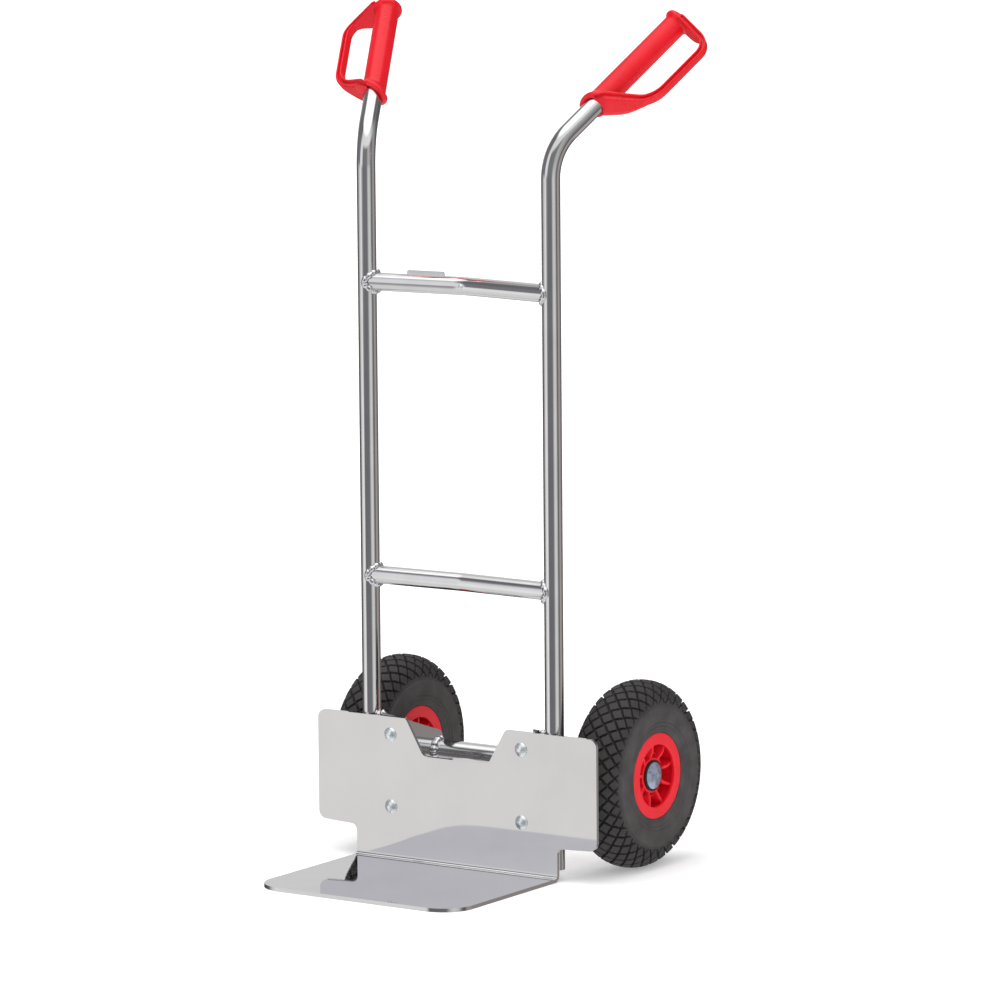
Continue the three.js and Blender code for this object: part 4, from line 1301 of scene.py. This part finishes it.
# Bright, clear-passivated zinc plate: a pale silver, smoother than the caps.
bolt_finish, set_bolt = finish_of("clear_passivated_zinc_plate", {"Metallic": 0.75})
bolt_spot = node(bolt_finish, "ShaderNodeTexCoord").outputs["Object"]
bolt_cloud = node(
    bolt_finish,
    "ShaderNodeTexNoise",
    {"Vector": bolt_spot, "Scale": 240.0, "Detail": 4.0},
).outputs["Fac"]
set_bolt(
    {
        "Base Color": node(
            bolt_finish,
            "ShaderNodeValToRGB",
            {"Fac": bolt_cloud},
            stops=[(0.32, linear("#DDE5EA")), (0.68, linear("#F6FAFC"))],
        ).outputs["Color"],
        "Roughness": node(
            bolt_finish,
            "ShaderNodeValToRGB",
            {"Fac": bolt_cloud},
            stops=[(0.3, grey(0.2)), (0.75, grey(0.32))],
        ).outputs["Color"],
        "Normal": node(
            bolt_finish,
            "ShaderNodeBump",
            {"Height": bolt_cloud, "Strength": 0.15, "Distance": 0.0006},
        ).outputs["Normal"],
    }
)

for side_name in SIDES:
    for level in ("lower", "upper"):
        name = f"{side_name}_{level}_bolt"
        low, high = (np.array(c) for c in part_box(name))
        centre = (low + high) / 2
        centre[1] = low[1]
        head = dome_line(BOLT_HEAD_RADIUS, BOLT_HEAD_RISE)
        length = (high[1] - low[1]) / mm
        shank = [(4.5, 9.9), (4.5, 4.0), (length - 0.8, 4.0), (length, 3.2), (length, 0.0)]
        shank = np.array(shank) * mm
        bolt = piece(
            name + "_turned",
            [along_y(np.vstack([head, shank]), centre)],
            bolt_finish,
            "frame",
        )
        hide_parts(name)

# Thin blank aluminium plate, satin: pale and even with a fine brushed grain.
pale_finish, set_pale = finish_of("satin_brushed_aluminium_plate", {"Metallic": 0.85})
pale_spot = node(pale_finish, "ShaderNodeTexCoord").outputs["Object"]
pale_lines = node(
    pale_finish,
    "ShaderNodeMapping",
    {"Vector": pale_spot, "Scale": (20.0, 900.0, 900.0)},
)
pale_grain = node(
    pale_finish,
    "ShaderNodeTexNoise",
    {"Vector": pale_lines.outputs["Vector"], "Scale": 1.0, "Detail": 2.0},
).outputs["Fac"]
set_pale(
    {
        "Base Color": node(
            pale_finish,
            "ShaderNodeValToRGB",
            {"Fac": pale_grain},
            stops=[(0.3, linear("#E4E6EA")), (0.7, linear("#F2F3F5"))],
        ).outputs["Color"],
        "Roughness": node(
            pale_finish,
            "ShaderNodeValToRGB",
            {"Fac": pale_grain},
            stops=[(0.3, grey(0.3)), (0.7, grey(0.42))],
        ).outputs["Color"],
    }
)

# Bright drawn steel: a darker, slightly warm grey metal with turning lines.
steel_finish, set_steel = finish_of("bright_drawn_steel", {"Metallic": 1.0})
steel_spot = node(steel_finish, "ShaderNodeTexCoord").outputs["Object"]
steel_lines = node(
    steel_finish,
    "ShaderNodeMapping",
    {"Vector": steel_spot, "Scale": (900.0, 40.0, 40.0)},
)
steel_grain = node(
    steel_finish,
    "ShaderNodeTexNoise",
    {"Vector": steel_lines.outputs["Vector"], "Scale": 1.0, "Detail": 2.0},
).outputs["Fac"]
set_steel(
    {
        "Base Color": node(
            steel_finish,
            "ShaderNodeValToRGB",
            {"Fac": steel_grain},
            stops=[(0.3, linear("#9C9D9F")), (0.7, linear("#B4B5B6"))],
        ).outputs["Color"],
        "Roughness": node(
            steel_finish,
            "ShaderNodeValToRGB",
            {"Fac": steel_grain},
            stops=[(0.3, grey(0.22)), (0.7, grey(0.34))],
        ).outputs["Color"],
    }
)

KEPT = {
    "data_plate": pale_finish,
    "axle": steel_finish,
    "roller_bearing": steel_finish,
    "axle_bush": nylon_finish,
    "axle_bracket": sheet_finish,
    "washer": bolt_finish,
    "lock_nut": bolt_finish,
    "rivet": bolt_finish,
}
for name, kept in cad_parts.items():
    endings = [ending for ending in KEPT if name.endswith(ending)]
    if endings:
        kept.data.materials[0] = KEPT[endings[0]]

# ------------------------------------------------------------------ studio
# A wide pale floor, a tent of soft light whose dark gaps give the metal its streaks, and one broad
# lamp overhead.

FLOOR_REACH = 60.0
FLOOR_GAP = 0.5 * mm

floor_mesh = bpy.data.meshes.new("floor")
reach, drop = FLOOR_REACH, -FLOOR_GAP
floor_corners = [
    (-reach, -reach, drop),
    (reach, -reach, drop),
    (reach, reach, drop),
    (-reach, reach, drop),
]
floor_mesh.from_pydata(floor_corners, [], [(0, 1, 2, 3)])
floor = bpy.data.objects.new("floor", floor_mesh)
bpy.context.scene.collection.objects.link(floor)
floor_finish, _ = finish_of(
    "matt_white_floor",
    {
        "Base Color": linear("#F1F1F1"),
        "Roughness": 1.0,
        "Specular IOR Level": 0.0,
        "Emission Color": linear("#FFFFFF"),
        "Emission Strength": 0.3,
    },
)
floor_mesh.materials.append(floor_finish)
floor.visible_glossy = False

world = bpy.data.worlds.new("studio")
bpy.context.scene.world = world
world.use_nodes = True
background = world.node_tree.nodes["Background"]
way = node(world, "ShaderNodeTexCoord").outputs["Generated"]
parts = node(world, "ShaderNodeSeparateXYZ", {"Vector": way})
back_y = node(
    world,
    "ShaderNodeMath",
    {0: parts.outputs["Y"], 1: -1.0},
    operation="MULTIPLY",
).outputs[0]
azimuth = node(
    world,
    "ShaderNodeMath",
    {0: parts.outputs["X"], 1: back_y},
    operation="ARCTAN2",
).outputs[0]
round_share = node(
    world, "ShaderNodeMapRange", {"Value": azimuth, "From Min": -math.pi, "From Max": math.pi}
).outputs["Result"]


def bearing(degrees):
    """A compass bearing from straight in front of the plate as a share of the full turn."""
    return (degrees + 180) / 360


low_band = node(
    world,
    "ShaderNodeValToRGB",
    {"Fac": round_share},
    stops=[
        (0.0, grey(0.14)),
        (bearing(-150), grey(0.12)),
        (bearing(-140), grey(0.1)),
        (bearing(-120), grey(0.1)),
        (bearing(-108), grey(0.08)),
        (bearing(-82), grey(0.16)),
        (bearing(-58), grey(0.85)),
        (bearing(-42), (1.0, 0.985, 0.965, 1.0)),
        (bearing(-31), (0.93, 0.914, 0.894, 1.0)),
        (bearing(-19), (0.175, 0.17, 0.185, 1.0)),
        (bearing(40), (0.195, 0.195, 0.205, 1.0)),
        (bearing(57), grey(0.7)),
        (bearing(70), grey(0.8)),
        (bearing(84), grey(0.64)),
        (bearing(99), grey(0.17)),
        (bearing(107), (0.14, 0.13, 0.12, 1.0)),
        (bearing(120), (0.42, 0.385, 0.37, 1.0)),
        (bearing(134), (0.42, 0.385, 0.37, 1.0)),
        (bearing(150), (0.3, 0.27, 0.26, 1.0)),
        (bearing(158), (0.14, 0.13, 0.13, 1.0)),
        (1.0, grey(0.14)),
    ],
).outputs["Color"]
level_band = node(
    world,
    "ShaderNodeValToRGB",
    {"Fac": round_share},
    stops=[
        (0.0, grey(0.12)),
        (bearing(-158), grey(0.16)),
        (bearing(-150), grey(0.75)),
        (bearing(-135), grey(0.75)),
        (bearing(-112), grey(0.3)),
        (bearing(-100), grey(0.16)),
        (bearing(-43), (0.22, 0.22, 0.24, 1.0)),
        (bearing(-39), (0.88, 0.875, 0.92, 1.0)),
        (bearing(-13), (0.88, 0.875, 0.9, 1.0)),
        (bearing(-5), grey(0.22)),
        (bearing(40), grey(0.22)),
        (bearing(60), grey(0.5)),
        (bearing(75), grey(0.5)),
        (bearing(90), grey(0.25)),
        (bearing(105), grey(0.16)),
        (bearing(120), grey(0.4)),
        (bearing(145), grey(0.3)),
        (bearing(160), grey(0.12)),
        (1.0, grey(0.12)),
    ],
).outputs["Color"]
middle_band = node(
    world,
    "ShaderNodeValToRGB",
    {"Fac": round_share},
    stops=[
        (0.0, grey(0.14)),
        (bearing(-150), grey(0.4)),
        (bearing(-125), grey(0.75)),
        (bearing(-108), grey(0.2)),
        (bearing(-48), grey(0.16)),
        (bearing(-30), grey(0.85)),
        (bearing(80), grey(0.95)),
        (bearing(120), grey(0.5)),
        (bearing(140), grey(0.16)),
        (1.0, grey(0.14)),
    ],
).outputs["Color"]
level_share, low_share, high_share, floor_share = (
    node(
        world,
        "ShaderNodeMapRange",
        {"Value": parts.outputs["Z"], "From Min": start, "From Max": stop},
    ).outputs["Result"]
    for start, stop in ((-0.13, 0.03), (0.45, 0.56), (0.74, 0.83), (-0.45, -0.65))
)
lit = node(
    world,
    "ShaderNodeMix",
    {0: level_share, 6: low_band, 7: level_band},
    data_type="RGBA",
).outputs[2]
lit = node(
    world,
    "ShaderNodeMix",
    {0: low_share, 6: lit, 7: middle_band},
    data_type="RGBA",
).outputs[2]
lit = node(
    world,
    "ShaderNodeMix",
    {0: high_share, 6: lit, 7: grey(1.45)},
    data_type="RGBA",
).outputs[2]
lit = node(
    world,
    "ShaderNodeMix",
    {0: floor_share, 6: lit, 7: grey(0.8)},
    data_type="RGBA",
).outputs[2]
world.node_tree.links.new(lit, background.inputs["Color"])
background.inputs["Strength"].default_value = 1.0

lamp_data = bpy.data.lights.new("overhead_softbox", "SUN")
lamp_data.energy = 1.05
lamp_data.angle = math.radians(60)
lamp = bpy.data.objects.new("overhead_softbox", lamp_data)
bpy.context.scene.collection.objects.link(lamp)
lamp.rotation_euler = (math.radians(18), math.radians(-14), 0.0)
lamp.visible_glossy = False

side_data = bpy.data.lights.new("side_softbox", "SUN")
side_data.energy = 0.45
side_data.angle = math.radians(50)
side_lamp = bpy.data.objects.new("side_softbox", side_data)
bpy.context.scene.collection.objects.link(side_lamp)
side_lamp.rotation_euler = (math.radians(20), math.radians(62), 0.0)
side_lamp.visible_glossy = False

bpy.context.scene.view_settings.view_transform = "Standard"
